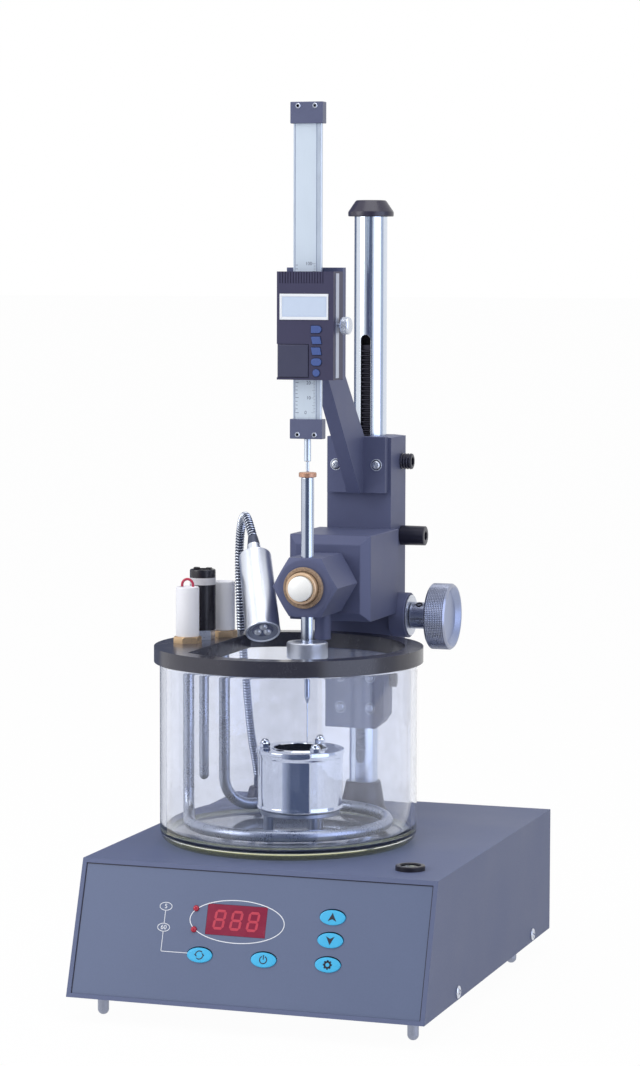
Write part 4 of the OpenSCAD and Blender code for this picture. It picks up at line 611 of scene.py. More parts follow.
def oval_key(name, node, body):
    """Oval key over its CAD node, turned with a radius of a half and then stretched."""
    steps = [(0.5, -3.4), (0.5, 0.5), (0.485, 0.8), (0.45, 0.95), (0.3, 1.02), (0.05, 1.04)]
    piece = turned(name, [(r, z * MM) for r, z in steps], sides=64, unit=1)
    piece.scale = (17.4 * MM, 9.8 * MM, 1)
    on_panel(settle(piece), *key_face(node))
    dress(piece, cyan_rubber, body, [node], smooth=40)


def arrow(name, way):
    """Arrow head with a notched foot."""
    object_mode()
    bpy.ops.mesh.primitive_circle_add(vertices=4, radius=1, fill_type="NGON")
    piece = bpy.context.object
    piece.name = name
    corners = [(0, 2.5 * way), (2.4, -2.1 * way), (0, -0.9 * way), (-2.4, -2.1 * way)]
    for vertex, corner in zip(piece.data.vertices, corners):
        vertex.co = (corner[0] * MM, corner[1] * MM, 0)
    thicken(INK * MM)
    return piece


def open_ring(name, radius, line, gaps):
    """A ring of ink with gaps, each given by its two angles in degrees."""
    piece = ink_ring(name, 2 * radius, 2 * radius, line)
    only(piece)
    bpy.ops.object.mode_set(mode="EDIT")
    select_faces(piece, lambda centre, normal: any(
        low < math.degrees(math.atan2(centre.y, centre.x)) % 360 < high for low, high in gaps))
    bpy.ops.mesh.delete(type="FACE")
    bpy.ops.object.mode_set(mode="OBJECT")
    return piece


def gear_sign(name):
    """A ring with eight stub teeth."""
    parts = [ink_ring(name, 3.2, 3.2, 1.0)]
    tooth = ink_strip("tooth", (1.9, 0), (2.1, 0), 0.9)
    for step in range(1, 8):
        twin = copied(tooth, f"tooth_{step}")
        twin.rotation_euler = (0, 0, step * math.pi / 4)
        parts.append(settle(twin))
    return join(name, [*parts, tooth])


def refresh_sign(name):
    """Two arcs that chase each other, each with a short tip."""
    parts = [open_ring("refresh_arcs", 2.2, 0.55, [(10, 50), (190, 230)])]
    for side in (1, -1):
        tip = ink_strip(f"refresh_tip_{side}", (-0.5, 0.5), (0.5, -0.3), 0.5)
        tip.location = (2.1 * MM * side, 0.3 * MM * side, 0)
        parts.append(settle(tip))
    return join(name, parts)


signs = {
    "refresh": refresh_sign("refresh_sign"),
    "power": join("power_sign", [open_ring("power_arc", 2.0, 0.55, [(65, 115)]),
                                 ink_strip("power_bar", (0, 0.4), (0, 2.4), 0.55)]),
    "up": arrow("up_sign", 1),
    "down": arrow("down_sign", -1),
    "gear": gear_sign("gear_sign"),
}
for word, sign in signs.items():
    sign.scale = (SIGN_SCALE, SIGN_SCALE, 1)
    settle(sign)
    oval_key(f"{word}_key_cap", f"key_{word}", f"{word}_key")
    on_panel(sign, *key_face(f"key_{word}"), KEY_TOP)
    dress(sign, dark_ink_and_gap_shadow, f"{word}_key")
print("panel keys", len(signs))

# %% [markdown]
# ## Screws
# A pan head is turned, then two crossed bars are cut out of it for the driver. A boolean
# is the surest way to a sharp recess, and one screw is copied to every place.

# %% Pan screws
bright_zinc = surface("bright_zinc_plate", "#D2D7E2", 0.3, metal=0.85, grain=0.8, relief=0.004, drift=0.05)


def pan_head(name, radius, height):
    """A pan head with a cross recess, on its back at the origin and facing +Z. Its two sizes
    are in millimetres, and its steps are shares of them."""
    shares = [(0.9, 0), (1, 0.12), (1, 0.4), (0.94, 0.66), (0.8, 0.86), (0.55, 0.96), (0.2, 1)]
    head = turned(name, [(radius * r, height * z) for r, z in shares], sides=40)
    for turn in (0.0, math.pi / 2):
        cut(head, block("driver", (0, 0, height), (radius * 1.25, radius * 0.26, height * 1.1), turn=turn))
    return head


def fit_screws(name, head, places, towards, turns):
    """Copies a head to its places, each turned its own way, joins the copies and deletes
    the head."""
    fitted = []
    for index, (place, turn) in enumerate(zip(places, turns)):
        screw = copied(head, f"{name}_{index}")
        screw.rotation_euler = (0, 0, turn)
        settle(screw)
        screw.rotation_euler = Vector(towards(place)).to_track_quat("Z", "Y").to_euler()
        screw.location = place
        fitted.append(settle(screw))
    discard(head)
    return join(name, fitted)


side_places = [(x, y * MM, 21.5 * MM) for x in (cover_low.x, cover_high.x) for y in (-82.7, 107.4)]
side_heads = fit_screws("side_screws_of_cover", pan_head("side_head", 4.2, 1.5), side_places,
                        lambda place: (math.copysign(1, place[0]), 0, 0), (0.2, 0.9, 0.5, 1.2))
dress(side_heads, bright_zinc, "root", ["cover_screws"])
print("side screws", len(side_places))

# %% [markdown]
# ## Feet
# Each foot is one turned piece: a round-ended pin, a knurled disc to turn it by and a
# threaded stud. The knurl is made as a real one looks: every small face of the rim is
# raised to a point, which is what poking a face with an offset does.

# %% Feet
def knurl(piece, axis, centre, radius, height):
    """Raises every face of a rim that stands at least at a radius to a point."""
    only(piece)
    bpy.ops.object.mode_set(mode="EDIT")
    keep = Vector([0 if letter == axis else 1 for letter in "XYZ"])

    def on_rim(middle, normal):
        away = (middle - Vector(centre)) * keep
        return away.length > radius * MM and abs(normal.dot(away.normalized())) > 0.9

    select_faces(piece, on_rim)
    bpy.ops.mesh.poke(offset=height * MM)
    bpy.ops.object.mode_set(mode="OBJECT")


foot_zinc = surface("dulled_zinc_plate", "#9AA0B2", 0.35, metal=0.7, grain=0.8, relief=0.004, drift=0.1)
thread_start, thread_pitch = 15.9, 1.25
foot_thread = [(r, thread_start + turn * thread_pitch + rise) for turn in range(9)
               for r, rise in ((3.95, 0.2), (3.45, 0.8))]
foot_steps = [(1.5, 0), *arc(0, 3.44, 3.75, -60, 0, 7), (3.75, 12.1), (9.2, 12.1), (9.75, 12.6),
              (9.75, 13.6), (9.75, 14.6), (9.3, 15.6), (4.0, 15.7), *foot_thread, (3.9, 27.6), (3.3, 28.6)]
feet = {"foot_front_left": "foot_fl", "foot_front_right": "foot_fr",
        "foot_rear_left": "foot_rl", "foot_rear_right": "foot_rr"}
for node, body in feet.items():
    foot_at = (*ends(node)[2].xy, 0)
    foot = turned(f"{node}_turned", foot_steps, sides=72, at=foot_at)
    knurl(foot, "Z", foot_at, 9.6, 0.22)
    dress(foot, foot_zinc, body, [node], smooth=25)
print("feet", len(feet))

# %% [markdown]
# ## Bubble level
# A round spirit level let into the cover: a black anodised ring, a dark green liquid under
# a slightly domed glass and a bubble. The liquid is a dark glossy disc, because at this
# size its depth doesn't show.

# %% Bubble level
black_anodised = surface("black_anodised_aluminium", "#24222C", 0.34, metal=0.3, grain=0.3, relief=0.003)
level_liquid = surface("dark_level_liquid", "#2E352F", 0.08, grain=4, drift=0.1)
# Painted highlight: the bubble is a lighter dome, where its surface catches the light.
bubble_painted_highlight = surface("painted_bubble_highlight", "#76806F", 0.1, grain=2, drift=0.1)
line_black = surface("level_mark_ink", "#0E0E12", 0.4, grain=0.3)
level_middle = ends("bubble_level")[2]
level_at = Vector((level_middle.x, level_middle.y, cover_high.z))
turned_piece("level_ring", [(6.75, 0), (9.8, 0), (9.8, 2.6), (9.4, 3.1), (8.9, 3.2), (7.3, 3.2), (6.75, 2.7),
                            (6.75, 0)],
             black_anodised, "root", "black_fitting", ["bubble_level"], sides=96, ring=True, at=level_at)
turned_piece("level_vial", [(6.74, 0.3), (6.74, 1.9), (5.5, 2.15), (3.5, 2.35), (1.2, 2.42)],
             level_liquid, "root", "black_fitting", at=level_at)
turned_piece("level_bubble", [(1.9, 2.3), (1.8, 2.5), (1.2, 2.62), (0.4, 2.66)], bubble_painted_highlight, "root",
             "black_fitting", sides=32, at=level_at + Vector((0.8, 0.5, 0)) * MM)
level_mark = ink_ring("level_mark", 7.0, 7.0, 0.35)
level_mark.location = level_at + Vector((0, 0, 2.33)) * MM
dress(settle(level_mark), line_black, "root")
print("level at", tuple(round(v, 4) for v in level_middle))

# %% [markdown]
# ## Power inlet
# A black moulded inlet with its rocker switch, on the rear wall. The contact blades are
# nickel-plated, so they are pieces of their own over the moulded ones.

# %% Power inlet
black_moulding = surface("black_moulded_nylon", "#1C1D23", 0.45, grain=0.25, relief=0.01)
blade_nickel = surface("nickel_plated_blade", "#C9C4B8", 0.25, metal=1.0, grain=0.6, relief=0.002)
milled_piece("power_inlet", "inlet_moulding", black_moulding, "root", "black_plastic", edge=0.35)
milled_piece("power_rocker", "rocker_cap", black_moulding, "rocker", "black_plastic", edge=0.3)
inlet_x, blade_y, inlet_z = -62, 148.3, 45.25
blades = [block(f"blade_{index}", (inlet_x + side, blade_y, inlet_z + rise), (2.1, 12.6, 4.1), edge=0.5)
          for index, (side, rise) in enumerate(((-7, 0), (7, 0), (0, 4)))]
dress(join("inlet_blades", blades), blade_nickel, "root")
print("inlet blades", len(blades))

# %% [markdown]
# ## Glass bath
# A pressed glass bowl with a thick bottom and a rounded heel. Pressed glass is clear in the
# wall and greenish where one looks through much of it, so the heel and the floor have
# tints of their own. The heel, the floor and the back wall are also less clear than the
# front, and that diffuse share is painted light that stands in for the reflections which
# brighten them. The shape is one profile, turned. The bowl casts no shadow, because
# a renderer's shadow behind glass is darker than the real one.

# %% Pressed glass
def glass(name, colour, rough, clear, back_clear):
    """Pressed glass with a faint unevenness. Its clearness goes from one value in front to
    another at the back, and the lower clearness at the back is painted light: a pale veil
    that stands in for the reflections seen in the back wall."""
    material, tree = blank_material(name)
    place = add(tree, "TexCoord").outputs["Object"]
    patches = add(tree, "TexNoise", {"Vector": place, "Scale": 1 / (9 * MM), "Detail": 3.0}).outputs[0]
    tone = add(tree, "MapRange", {"Value": patches, "From Min": 0.3, "From Max": 0.7, "To Min": 0.93,
                                  "To Max": 1.0}).outputs[0]
    tint = add(tree, "VectorMath", {0: linear(colour)[:3], "Scale": tone}, operation="SCALE").outputs[0]
    waves = add(tree, "TexNoise", {"Vector": place, "Scale": 1 / (22 * MM), "Detail": 2.0}).outputs[0]
    bump = add(tree, "Bump", {"Height": waves, "Distance": 0.03 * MM, "Strength": 1.0}).outputs[0]
    back = add(tree, "SeparateXYZ", {0: place}).outputs["Y"]
    back_veil = add(tree, "MapRange", {"Value": back, "From Min": -0.03, "From Max": 0.05, "To Min": clear,
                                  "To Max": back_clear}).outputs[0]
    shader = add(tree, "BsdfPrincipled", {"Base Color": tint, "Roughness": rough, "IOR": 1.5,
                                          "Transmission Weight": back_veil, "Normal": bump})
    add(tree, "OutputMaterial", {"Surface": shader.outputs[0]})
    return material


# %% Glass bath
# The back wall's lower clearness is painted light, a pale veil for its reflections.
pressed_glass = glass("pressed_soda_glass", "#F2F5FE", 0.0, 1.0, 0.9)
# The heel's yellow-green tint is the glass's own; its lower clearness adds a painted sheen.
heel_glass_tint_and_sheen = glass("yellow_green_glass_heel_painted_sheen", "#EDEFB8", 0.06, 0.8, 0.8)
# The floor's lower clearness is painted light: a pale diffuse share for the reflections in the floor.
floor_glass_painted_sheen = glass("thick_glass_floor_painted_sheen", "#E9EEF4", 0.04, 0.75, 0.75)
bath_low, bath_high, bath_middle = ends("glass_bath")
bath_r, inside_r, bath_h, bath_floor = 88, 84, 123, 6.5
bath_steps = [(bath_r - 8, 0), *arc(bath_r - 8, 8, 8, -75, 0, 8), (bath_r, 9), (bath_r, bath_h - 2.2),
              *arc(bath_r - 1.5, bath_h - 1.5, 1.5, 0, 90, 4),
              *arc(inside_r + 1.2, bath_h - 1.2, 1.2, 90, 180, 4),
              (inside_r, bath_h - 2), (inside_r, bath_floor + 7),
              *arc(inside_r - 6, bath_floor + 6, 6, 0, -75, 6), (inside_r - 6, bath_floor)]
bath_at = Vector((bath_middle.x, bath_middle.y, bath_low.z))
bath = turned_piece("pressed_glass_bath", bath_steps, pressed_glass, "root", "bath_glass", ["glass_bath"],
                    smooth=40, sides=144, at=bath_at)
bath.visible_shadow = False


def in_bath(point):
    """Distance from the bath's axis and height over its underside, in millimetres."""
    away = point - bath_at
    return away.xy.length / MM, away.z / MM


heel_r, heel_top, floor_top = 76, 6, 9
inlay(bath, heel_glass_tint_and_sheen, lambda point: in_bath(point)[0] > heel_r and in_bath(point)[1] < heel_top)
inlay(bath, floor_glass_painted_sheen, lambda point: in_bath(point)[0] < heel_r and in_bath(point)[1] < floor_top)
print("bath", round(bath_high.z - bath_low.z, 4), "high")

# %% [markdown]
# ## Lid and heater
# The lid is turned from black phenolic board: a glossy face and a fine turned rim. The
# heater hangs in it as one bent stainless tube, dulled by water, with brass nuts and white
# sleeves on top. The tube and the lid have the right CAD form, so they are finished copies.

# %% Lid and heater
phenolic = surface("black_phenolic_board", "#33333F", 0.24, grain=0.6, relief=0.004, rough_drift=0.06,
                   drift=0.15)
heater_steel = surface("water_dulled_stainless", "#A3A9B6", 0.3, metal=1.0, grain=0.8, relief=0.006,
                       patch=10, drift=0.12, rough_drift=0.12)
brass = surface("plain_brass", "#DDBE98", 0.32, metal=0.8, grain=0.7, relief=0.004)
milled_piece("bath_lid", "turned_lid", phenolic, "lid", "lid_black", edge=0.8, segments=3)
milled_piece("heater_tube", "bent_heater", heater_steel, "lid", "heater_steel", edge=0, smooth=60)


def hex_nut(name, across, height, bore, at):
    """A hexagon nut with a turned chamfer on its top and a bore, its sizes in millimetres."""
    corner = across / 2 / math.cos(math.pi / 6)
    flat = across * 0.49
    nut = turned(name, [(corner, 0), (corner, height)], sides=6)
    cut(nut, turned("chamfer", [(flat + height, -0.01), (flat + height, height * 0.2),
                                (flat, height * 1.15)], sides=48), "INTERSECT")
    cut(nut, turned("hole", [(bore, -height), (bore, 2 * height)], sides=32))
    nut.location = at
    return settle(nut)


def round_bath(radius, degrees, along=0):
    """A place on the lid, by its radius and angle round the bath's axis and a distance
    along the tangent there, in millimetres."""
    angle = math.radians(degrees)
    return (bath_middle.x + (radius * math.cos(angle) - along * math.sin(angle)) * MM,
            bath_middle.y + (radius * math.sin(angle) + along * math.cos(angle)) * MM)


lid_top = ends("bath_lid")[1].z
leg_places = [round_bath(68, 204, -21), round_bath(68, 132, 21)]
probe_place = round_bath(71, 166.5)
print("heater legs", [tuple(round(v / MM, 1) for v in place) for place in leg_places])
leg_nuts = [hex_nut(f"leg_nut_{index}", 17, 4.4, 4.05, (*place, lid_top))
            for index, place in enumerate(leg_places)]
dress(join("leg_nuts", leg_nuts), brass, "lid", ["terminal_nuts"])
dress(hex_nut("probe_nut", 15, 6.4, 3.5, (*probe_place, lid_top)), bright_zinc, "lid")

# %% Sleeves, wire and probe
white_sleeve = surface("white_insulating_sleeve", "#F0F1F8", 0.5, grain=0.5, relief=0.006, drift=0.03)
red_wire = surface("red_wire_insulation", "#B8304D", 0.35, grain=0.8, relief=0.004)
black_cap = surface("black_heat_shrink", "#1D1B24", 0.3, grain=0.9, relief=0.01)
label_band = surface("blank_pale_band", "#C9C9CF", 0.45, grain=0.4, relief=0.003)
sleeve_low, sleeve_high, _ = ends("terminal_sleeves")
tall = (sleeve_high.z - sleeve_low.z) / MM
sleeve_steps = [(4.3, 0), (7.6, 0), (8.0, 0.5), (8.0, tall - 0.9), (7.7, tall - 0.3), (7.0, tall),
                (5.6, tall), (5.2, tall - 0.8), (4.6, tall - 1.0)]
for index, place in enumerate(leg_places):
    turned_piece(f"sleeve_{index}", sleeve_steps, white_sleeve, "lid", "sleeve_white", ["terminal_sleeves"],
                 sides=56, at=(*place, sleeve_low.z))
milled_piece("terminal_wire", "sleeve_wire", red_wire, "lid", "wire_red", edge=0, smooth=60)

probe_low = ends("temperature_probe")[0]
head_at = (*probe_place, lid_top)
stem_steps = [*arc(0, 3.5, 3.5, -80, 0, 6), (3.5, (lid_top - probe_low.z) / MM + 6.4)]
turned_piece("probe_stem", stem_steps, heater_steel, "lid", "heater_steel", ["temperature_probe"],
             sides=40, at=(*probe_place, probe_low.z))
head = turned_piece("probe_head", [(8.2, 6.4), (9.0, 7.0), (9.0, 37.2), (8.96, 37.8), (8.96, 43.1),
                                   (9.0, 43.7), (9.0, 47.6), (8.6, 48.5), (7.4, 48.7), (6.9, 47.6),
                                   (3.0, 47.4)],
                    black_cap, "lid", "black_plastic", at=head_at)
turned_piece("probe_band", [(8.97, 38.0), (9.05, 38.1), (9.05, 42.8), (8.97, 42.9)], label_band, "lid",
             "black_plastic", ring=True, at=head_at)
head_x, head_y, head_z = (c / MM for c in head_at)
tabs = [block(f"tab_{side}", (head_x + side * 4.5, head_y, head_z + 49.0), (3.8, 3.8, 1.8), edge=0.5)
        for side in (-1, 1)]
dress(join("probe_tabs", tabs), black_cap, "lid")
print("probe head", len(head.data.polygons), "faces")

# %% [markdown]
# ## Sample cup
# A polished tin with a turned lid and three acorn nuts. It stands on a low ring with three
# legs. Polished sheet mirrors its surroundings, so its form carries the look: a rolled
# bead at the foot and a small flare under the lid.

# %% Sample cup
polished = surface("polished_stainless", "#DDE1E9", 0.07, metal=1.0, grain=1.2, relief=0.002, patch=20,
                   rough_drift=0.03, drift=0.04)
dull_cast = surface("blasted_stainless", "#AEB4C2", 0.35, metal=1.0, grain=0.5, relief=0.01)
milled_piece("cup_stand", "cup_stand_ring", dull_cast, "root", "cup_steel", edge=0.4)
cup_low, cup_high, cup_middle = ends("sample_cup")
cup_steps = [(27.6, 0), (28.7, 0.3), (29.2, 1.0), (29.25, 2.0), (29.0, 3.0), (28.75, 3.8), (28.75, 35.0),
             (29.0, 36.2), (29.25, 37.0), (29.25, 38.7), (29.0, 39.0), (27.3, 39.0), (27.1, 38.0),
             (27.1, 3.0), (26.0, 2.2), (20.0, 2.0)]
turned_piece("sample_tin", cup_steps, polished, "cup", "cup_steel", ["sample_cup"], sides=96,
             at=(cup_middle.x, cup_middle.y, cup_low.z))
plate_steps = [(17.8, 0.0), (30.0, 0.0), (30.0, 1.7), (29.7, 2.3), (29.1, 2.5), (19.4, 2.5), (18.9, 3.1),
               (18.2, 3.1), (17.8, 2.6), (17.8, 0.0)]
turned_piece("tin_lid", plate_steps, polished, "cup", "cup_steel", ["cup_lid"], sides=96, ring=True,
             at=(cup_middle.x, cup_middle.y, cup_high.z))
acorns = []
acorn_ring_r, first_acorn, plate_h = 24, 74, 2.5
skirt_steps = [(3.3, 0), (3.62, 0.3), (3.62, 2.9), (3.2, 3.3)]
dome_steps = [(3.0, 3.0), *arc(0, 3.2, 3.0, 8, 82, 7)]
for step in range(3):
    angle = math.radians(first_acorn + 120 * step)
    at = (cup_middle.x + acorn_ring_r * MM * math.cos(angle),
          cup_middle.y + acorn_ring_r * MM * math.sin(angle), cup_high.z + plate_h * MM)
    acorns.append(turned(f"acorn_skirt_{step}", skirt_steps, sides=6, at=at))
    acorns.append(turned(f"acorn_dome_{step}", dome_steps, sides=32, at=at))
dress(join("acorn_nuts", acorns), polished, "cup")
print("cup at", tuple(round(v / MM, 1) for v in cup_middle))

# %% [markdown]
# ## Column
# Ground and hard-chromed tube, with a slot and a rack let into its front. Chrome shows the
# room, so its colour is nearly white and its roughness low. The fittings at both ends are
# blackened.

# %% Column
chrome = surface("ground_hard_chrome", "#D6DEEA", 0.17, metal=1.0, grain=0.9, relief=0.001, patch=40,
                 rough_drift=0.03, drift=0.03)
cut_steel = surface("blackened_rack_steel", "#35343F", 0.4, metal=0.5, grain=0.6, relief=0.006, drift=0.1)
blackened = surface("blackened_steel_fitting", "#302D40", 0.3, grain=0.5, relief=0.005, drift=0.1)
# Painted shade: a near-black for the shade inside the slot and in the counterbores round the lift's screws.
painted_black_shade = surface("painted_black_recess_shade", "#17161C", 0.6, grain=0.6, relief=0.01)
column = milled_piece("column", "slotted_column", chrome, "root", "column_chrome", edge=0.25, smooth=40)
column_low, column_high, column_middle = ends("column")
skin_r, end_margin = 11.2 * MM, 1 * MM
# The faces inside the tube's skin, in the slot, get the painted shade.
inlay(column, painted_black_shade, lambda point: (point - column_middle).xy.length < skin_r
      and column_low.z + end_margin < point.z < column_high.z - end_margin)
milled_piece("column_rack", "column_rack_cut", cut_steel, "root", "rack_steel", edge=0, smooth=20)
cap_low, cap_high, cap_middle = ends("column_cap")
turned_piece("column_top_cap", [(11.9, 0), (15.8, 0), (16.25, 0.5), (16.25, 3.0), (16.0, 3.6), (11.2, 10.7),
                                (10.3, 11.4), (9.0, 11.5), (3.0, 11.5)],
             blackened, "root", "black_fitting", ["column_cap"], sides=72,
             at=(cap_middle.x, cap_middle.y, cap_low.z))
milled_piece("column_socket", "column_foot_socket", blackened, "root", "black_fitting", edge=0.5)
print("column top", round(cap_high.z, 4))

# %% [markdown]
# ## Lift body and head
# Sawn aluminium blocks, milled, bead blasted and anodised slate blue. Their CAD solids
# have the right form, and a small bevel gives each edge the line of light that a real
# edge has.

# %% Anodised blocks
anodised = surface("blasted_anodised_aluminium", "#595F80", 0.5, metal=0.1, grain=0.35, relief=0.012,
                   patch=30, drift=0.05, **{"Specular IOR Level": 0.3})
for node, name, edge in (("lift_body", "milled_lift_body", 0.5), ("head_block", "milled_head_block", 0.5),
                         ("hex_head", "milled_hex_head", 0.45), ("scale_bracket", "milled_bracket", 0.5)):
    milled_piece(node, name, anodised, "lift", "body_grey", edge=edge)
print("blocks milled")

# %% Pan screws of the lift and the bracket
screw_places = [(x * MM, 83 * MM, z * MM) for x in (-12, 12) for z in (182.0, 204.5)]
screw_places += [(x * MM, 76 * MM, 355.85 * MM) for x in (-15, 15)]
lift_heads = fit_screws("lift_pan_heads", pan_head("body_head", 3.0, 2.2), screw_places,
                        lambda place: (0, -1, 0), (0.3, 1.1, 0.7, 0.1, 0.9, 0.4))
dress(lift_heads, bright_zinc, "lift", ["lift_screws"])
# Painted light round each screw: a black ring of painted shadow in the counterbore and a thin bright ring, a
# painted highlight on its edge.
for name, finish, steps in (
        ("painted_counterbore_shadows", painted_black_shade, [(2.6, 0), (2.6, 0.06), (3.55, 0.06)]),
        ("painted_counterbore_highlights", bright_zinc, [(3.5, 0), (3.5, 0.1), (3.7, 0.25), (4.1, 0.25), (4.25, 0)])):
    rings = [turned(name, steps, sides=48, ring=True, at=place, towards=(0, -1, 0)) for place in screw_places]
    dress(join(name, rings), finish, "lift")
print("lift screws", len(screw_places))

# %% [markdown]
# ## Side screws, bearing and shaft
# Three black socket screws set and clamp the lift on the column. The shaft turns in a
# bearing boss with a bright washer, and its pinion runs in the column's rack.

# %% Side screws
black_oxide = surface("black_oxide_steel", "#2D2D3C", 0.35, metal=0.3, grain=0.5, relief=0.005, drift=0.12)
lift_side_x, column_y, adjuster_pitch = 23.75, 108.5, 1.75


def socket_screw(name, radius, length, height, threaded):
    """Socket screw with its axis on +X, its sizes in millimetres."""
    if threaded:
        turns = int(length / adjuster_pitch)
        middle = [(r, (i + k) * length / turns) for i in range(turns)
                  for r, k in ((radius, 0.2), (radius, 0.45), (radius - 0.55, 0.7), (radius - 0.55, 0.95))]
    else:
        middle = [(radius, 0.6), (radius, length - 1.0)]
    steps = [(radius - 0.5, 0.02), *middle[:-1], (radius - 0.2, length - 0.35), (radius - 0.9, length),
             (3.8, length)]
    at = Vector((lift_side_x, column_y, height)) * MM
    body = turned(name, steps, sides=56, at=at, towards=(1, 0, 0))
    cut(body, turned("socket", [(3.46, 0), (3.46, 10)], sides=6, at=at + Vector((length / 2 * MM, 0, 0)),
                     towards=(1, 0, 0)))
    return body


side_set = [socket_screw("adjuster_low", 5.7, 8.25, 200.5, True),
            socket_screw("adjuster_high", 5.7, 8.25, 357.0, True),
            socket_screw("clamp_screw_head", 7.1, 18.25, 304.0, False)]
dress(join("side_socket_screws", side_set), black_oxide, "lift", ["side_screws"])
print("side screws", len(side_set))

# %% Bearing and shaft
shaft_axis = (93 * MM, 248.5 * MM)
turned_steel = surface("turned_steel", "#B9BFCC", 0.25, metal=1.0, grain=0.5, relief=0.003,
                       rings=("X", (0, *shaft_axis)))
turned_piece("bearing_boss", [(4.4, 0), (15.6, 0), (16.0, 0.5), (16.0, 11.2), (15.5, 11.75), (4.4, 11.75)],
             anodised, "lift", "body_grey", ["shaft_bearing"], sides=72, ring=True,
             at=(lift_side_x * MM, *shaft_axis), towards=(1, 0, 0))
turned_piece("bearing_washer", [(4.4, 0), (14.3, 0), (14.5, 0.25), (14.5, 0.85), (14.3, 1.05), (4.4, 1.05)],
             bright_zinc, "lift", "screw_steel", sides=72, ring=True, at=(35.62 * MM, *shaft_axis),
             towards=(1, 0, 0))
milled_piece("pinion_shaft", "pinion_and_shaft", turned_steel, "drive", "rack_steel", edge=0, smooth=30)
print("bearing boss and washer")

# %% [markdown]
# ## Knob
# A turned steel knob with a knurled rim and a dished face. The dish was turned, so its
# grain is rings round its own axis. The rim's knurl is real relief, made as on the feet.

# %% Knob
knurled_steel = surface("knurled_steel", "#9BA1B5", 0.3, metal=0.9, grain=0.5, relief=0.004, drift=0.08)
dished_steel = surface("turned_dish", "#98A2BE", 0.34, metal=0.7, grain=0.4, relief=0.006, drift=0.1,
                       rings=("X", (0, *shaft_axis)))
hub_start = ends("knob")[0].x
hub_l, dish_depth, dish_r = 14.6, 11.8, 20.9
hub = turned("knob_hub", [(4.3, 0), (9.0, 0), (9.5, 0.5), (9.5, 14.2), (9.0, 14.7), (4.3, 14.7)], ring=True,
             at=(hub_start, *shaft_axis), towards=(1, 0, 0))
rim_bands = [(23.12, 0.9 + band * 1.24) for band in range(1, 12)]
rim = turned("knob_rim", [(4.3, 0), (22.0, 0), (23.1, 0.9), *rim_bands, (22.2, 15.5), (21.2, 15.5),
                          (20.5, 15.1), (17.0, 12.1), (0.05, 12.0)],
             sides=112, ring=True, at=(hub_start + hub_l * MM, *shaft_axis), towards=(1, 0, 0))
knurl(rim, "X", (0, *shaft_axis), 22.9, 0.36)
knob = join("knurled_knob", [rim, hub])
dress(knob, knurled_steel, "drive", ["knob"], smooth=28)
inlay(knob, dished_steel, lambda point: point.x > hub_start + (hub_l + dish_depth) * MM
      and (point - Vector((0, *shaft_axis))).yz.length < dish_r * MM)
grub_way, grub_r = Vector((0, -0.5, 0.866)), 9.4 * MM
turned_piece("knob_grub_screw", [(2.5, -2.0), (2.5, 0.3), (2.3, 0.45), (1.6, 0.45), (1.5, -1.4), (0.3, -1.4)],
             black_oxide, "drive", "screw_black", sides=24, towards=grub_way,
             at=Vector((hub_start + 6.5 * MM, *shaft_axis)) + grub_way * grub_r)
print("knob", len(knob.data.polygons), "faces")

# %% [markdown]
# ## Release button
# A bronze knurled ring and a plain collar hold a white domed button. Pressing it lets the
# plunger fall. The collar is copper-brown and mottled from handling.

# %% Release button
button_z = 279 * MM
button_axis = (0, -36.8 * MM, button_z)
mottled_bronze = surface("handled_bronze", "#97806B", 0.62, metal=0.1, grain=0.9, relief=0.08, patch=1.6,
                         drift=0.5, rough_drift=0.15)
plain_bronze = surface("turned_bronze", "#DBBC9C", 0.38, metal=0.3, grain=0.4, relief=0.004, patch=6,
                       drift=0.12, rings=("Y", (0, 0, button_z)))
white_moulding = surface("white_moulded_plastic", "#FBFCFC", 0.3, grain=0.5, relief=0.004, drift=0.015)
bronze_ring = turned("collar_ring", [(8.9, 0), (13.6, 0), (13.9, 0.3), (13.9, 0.9), (13.9, 1.5), (13.9, 2.2),
                                     (13.5, 2.6), (11.6, 2.6), (11.5, 1.2), (8.9, 1.2)],
                     sides=88, ring=True, at=button_axis, towards=(0, -1, 0))
knurl(bronze_ring, "Y", button_axis, 13.8, 0.28)
dress(bronze_ring, mottled_bronze, "lift", ["button_collar"], smooth=25)
turned_piece("button_guard", [(8.85, 1.25), (10.7, 1.25), (10.75, 3.0), (10.75, 6.2), (10.2, 6.95),
                              (9.3, 7.0), (8.85, 6.6), (8.85, 1.25)],
             plain_bronze, "lift", "collar_bronze", sides=88, ring=True, at=button_axis, towards=(0, -1, 0))
milled_piece("release_button", "domed_button", white_moulding, "button", "button_white", edge=0.5,
             segments=3, smooth=40)
spring_wire = surface("spring_wire", "#9CA1AD", 0.3, metal=1.0, grain=0.4, relief=0.004)
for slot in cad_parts["button_spring"].material_slots:
    slot.material = spring_wire
print("button at", button_axis)

# %% [markdown]
# ## Plunger and needle
# A ground rod with a copper-coloured cap, the weight on its lower end and the needle in its holder.
# All of it is turned, so it is a set of profiles on one axis.

# %% Plunger
needle_axis = (0, -29.5 * MM, 0)
ground_steel = surface("ground_steel_rod", "#BCC4D4", 0.2, metal=1.0, grain=0.6, relief=0.002, patch=16,
                       rings=("Z", needle_axis))
weight_steel = surface("turned_weight_steel", "#C8CDDA", 0.32, metal=0.85, grain=0.5, relief=0.004,
                       rings=("Z", needle_axis))
copper_cap = surface("copper_plated_cap", "#BE927A", 0.4, metal=0.5, grain=0.6, relief=0.005, patch=4,
                     drift=0.14)


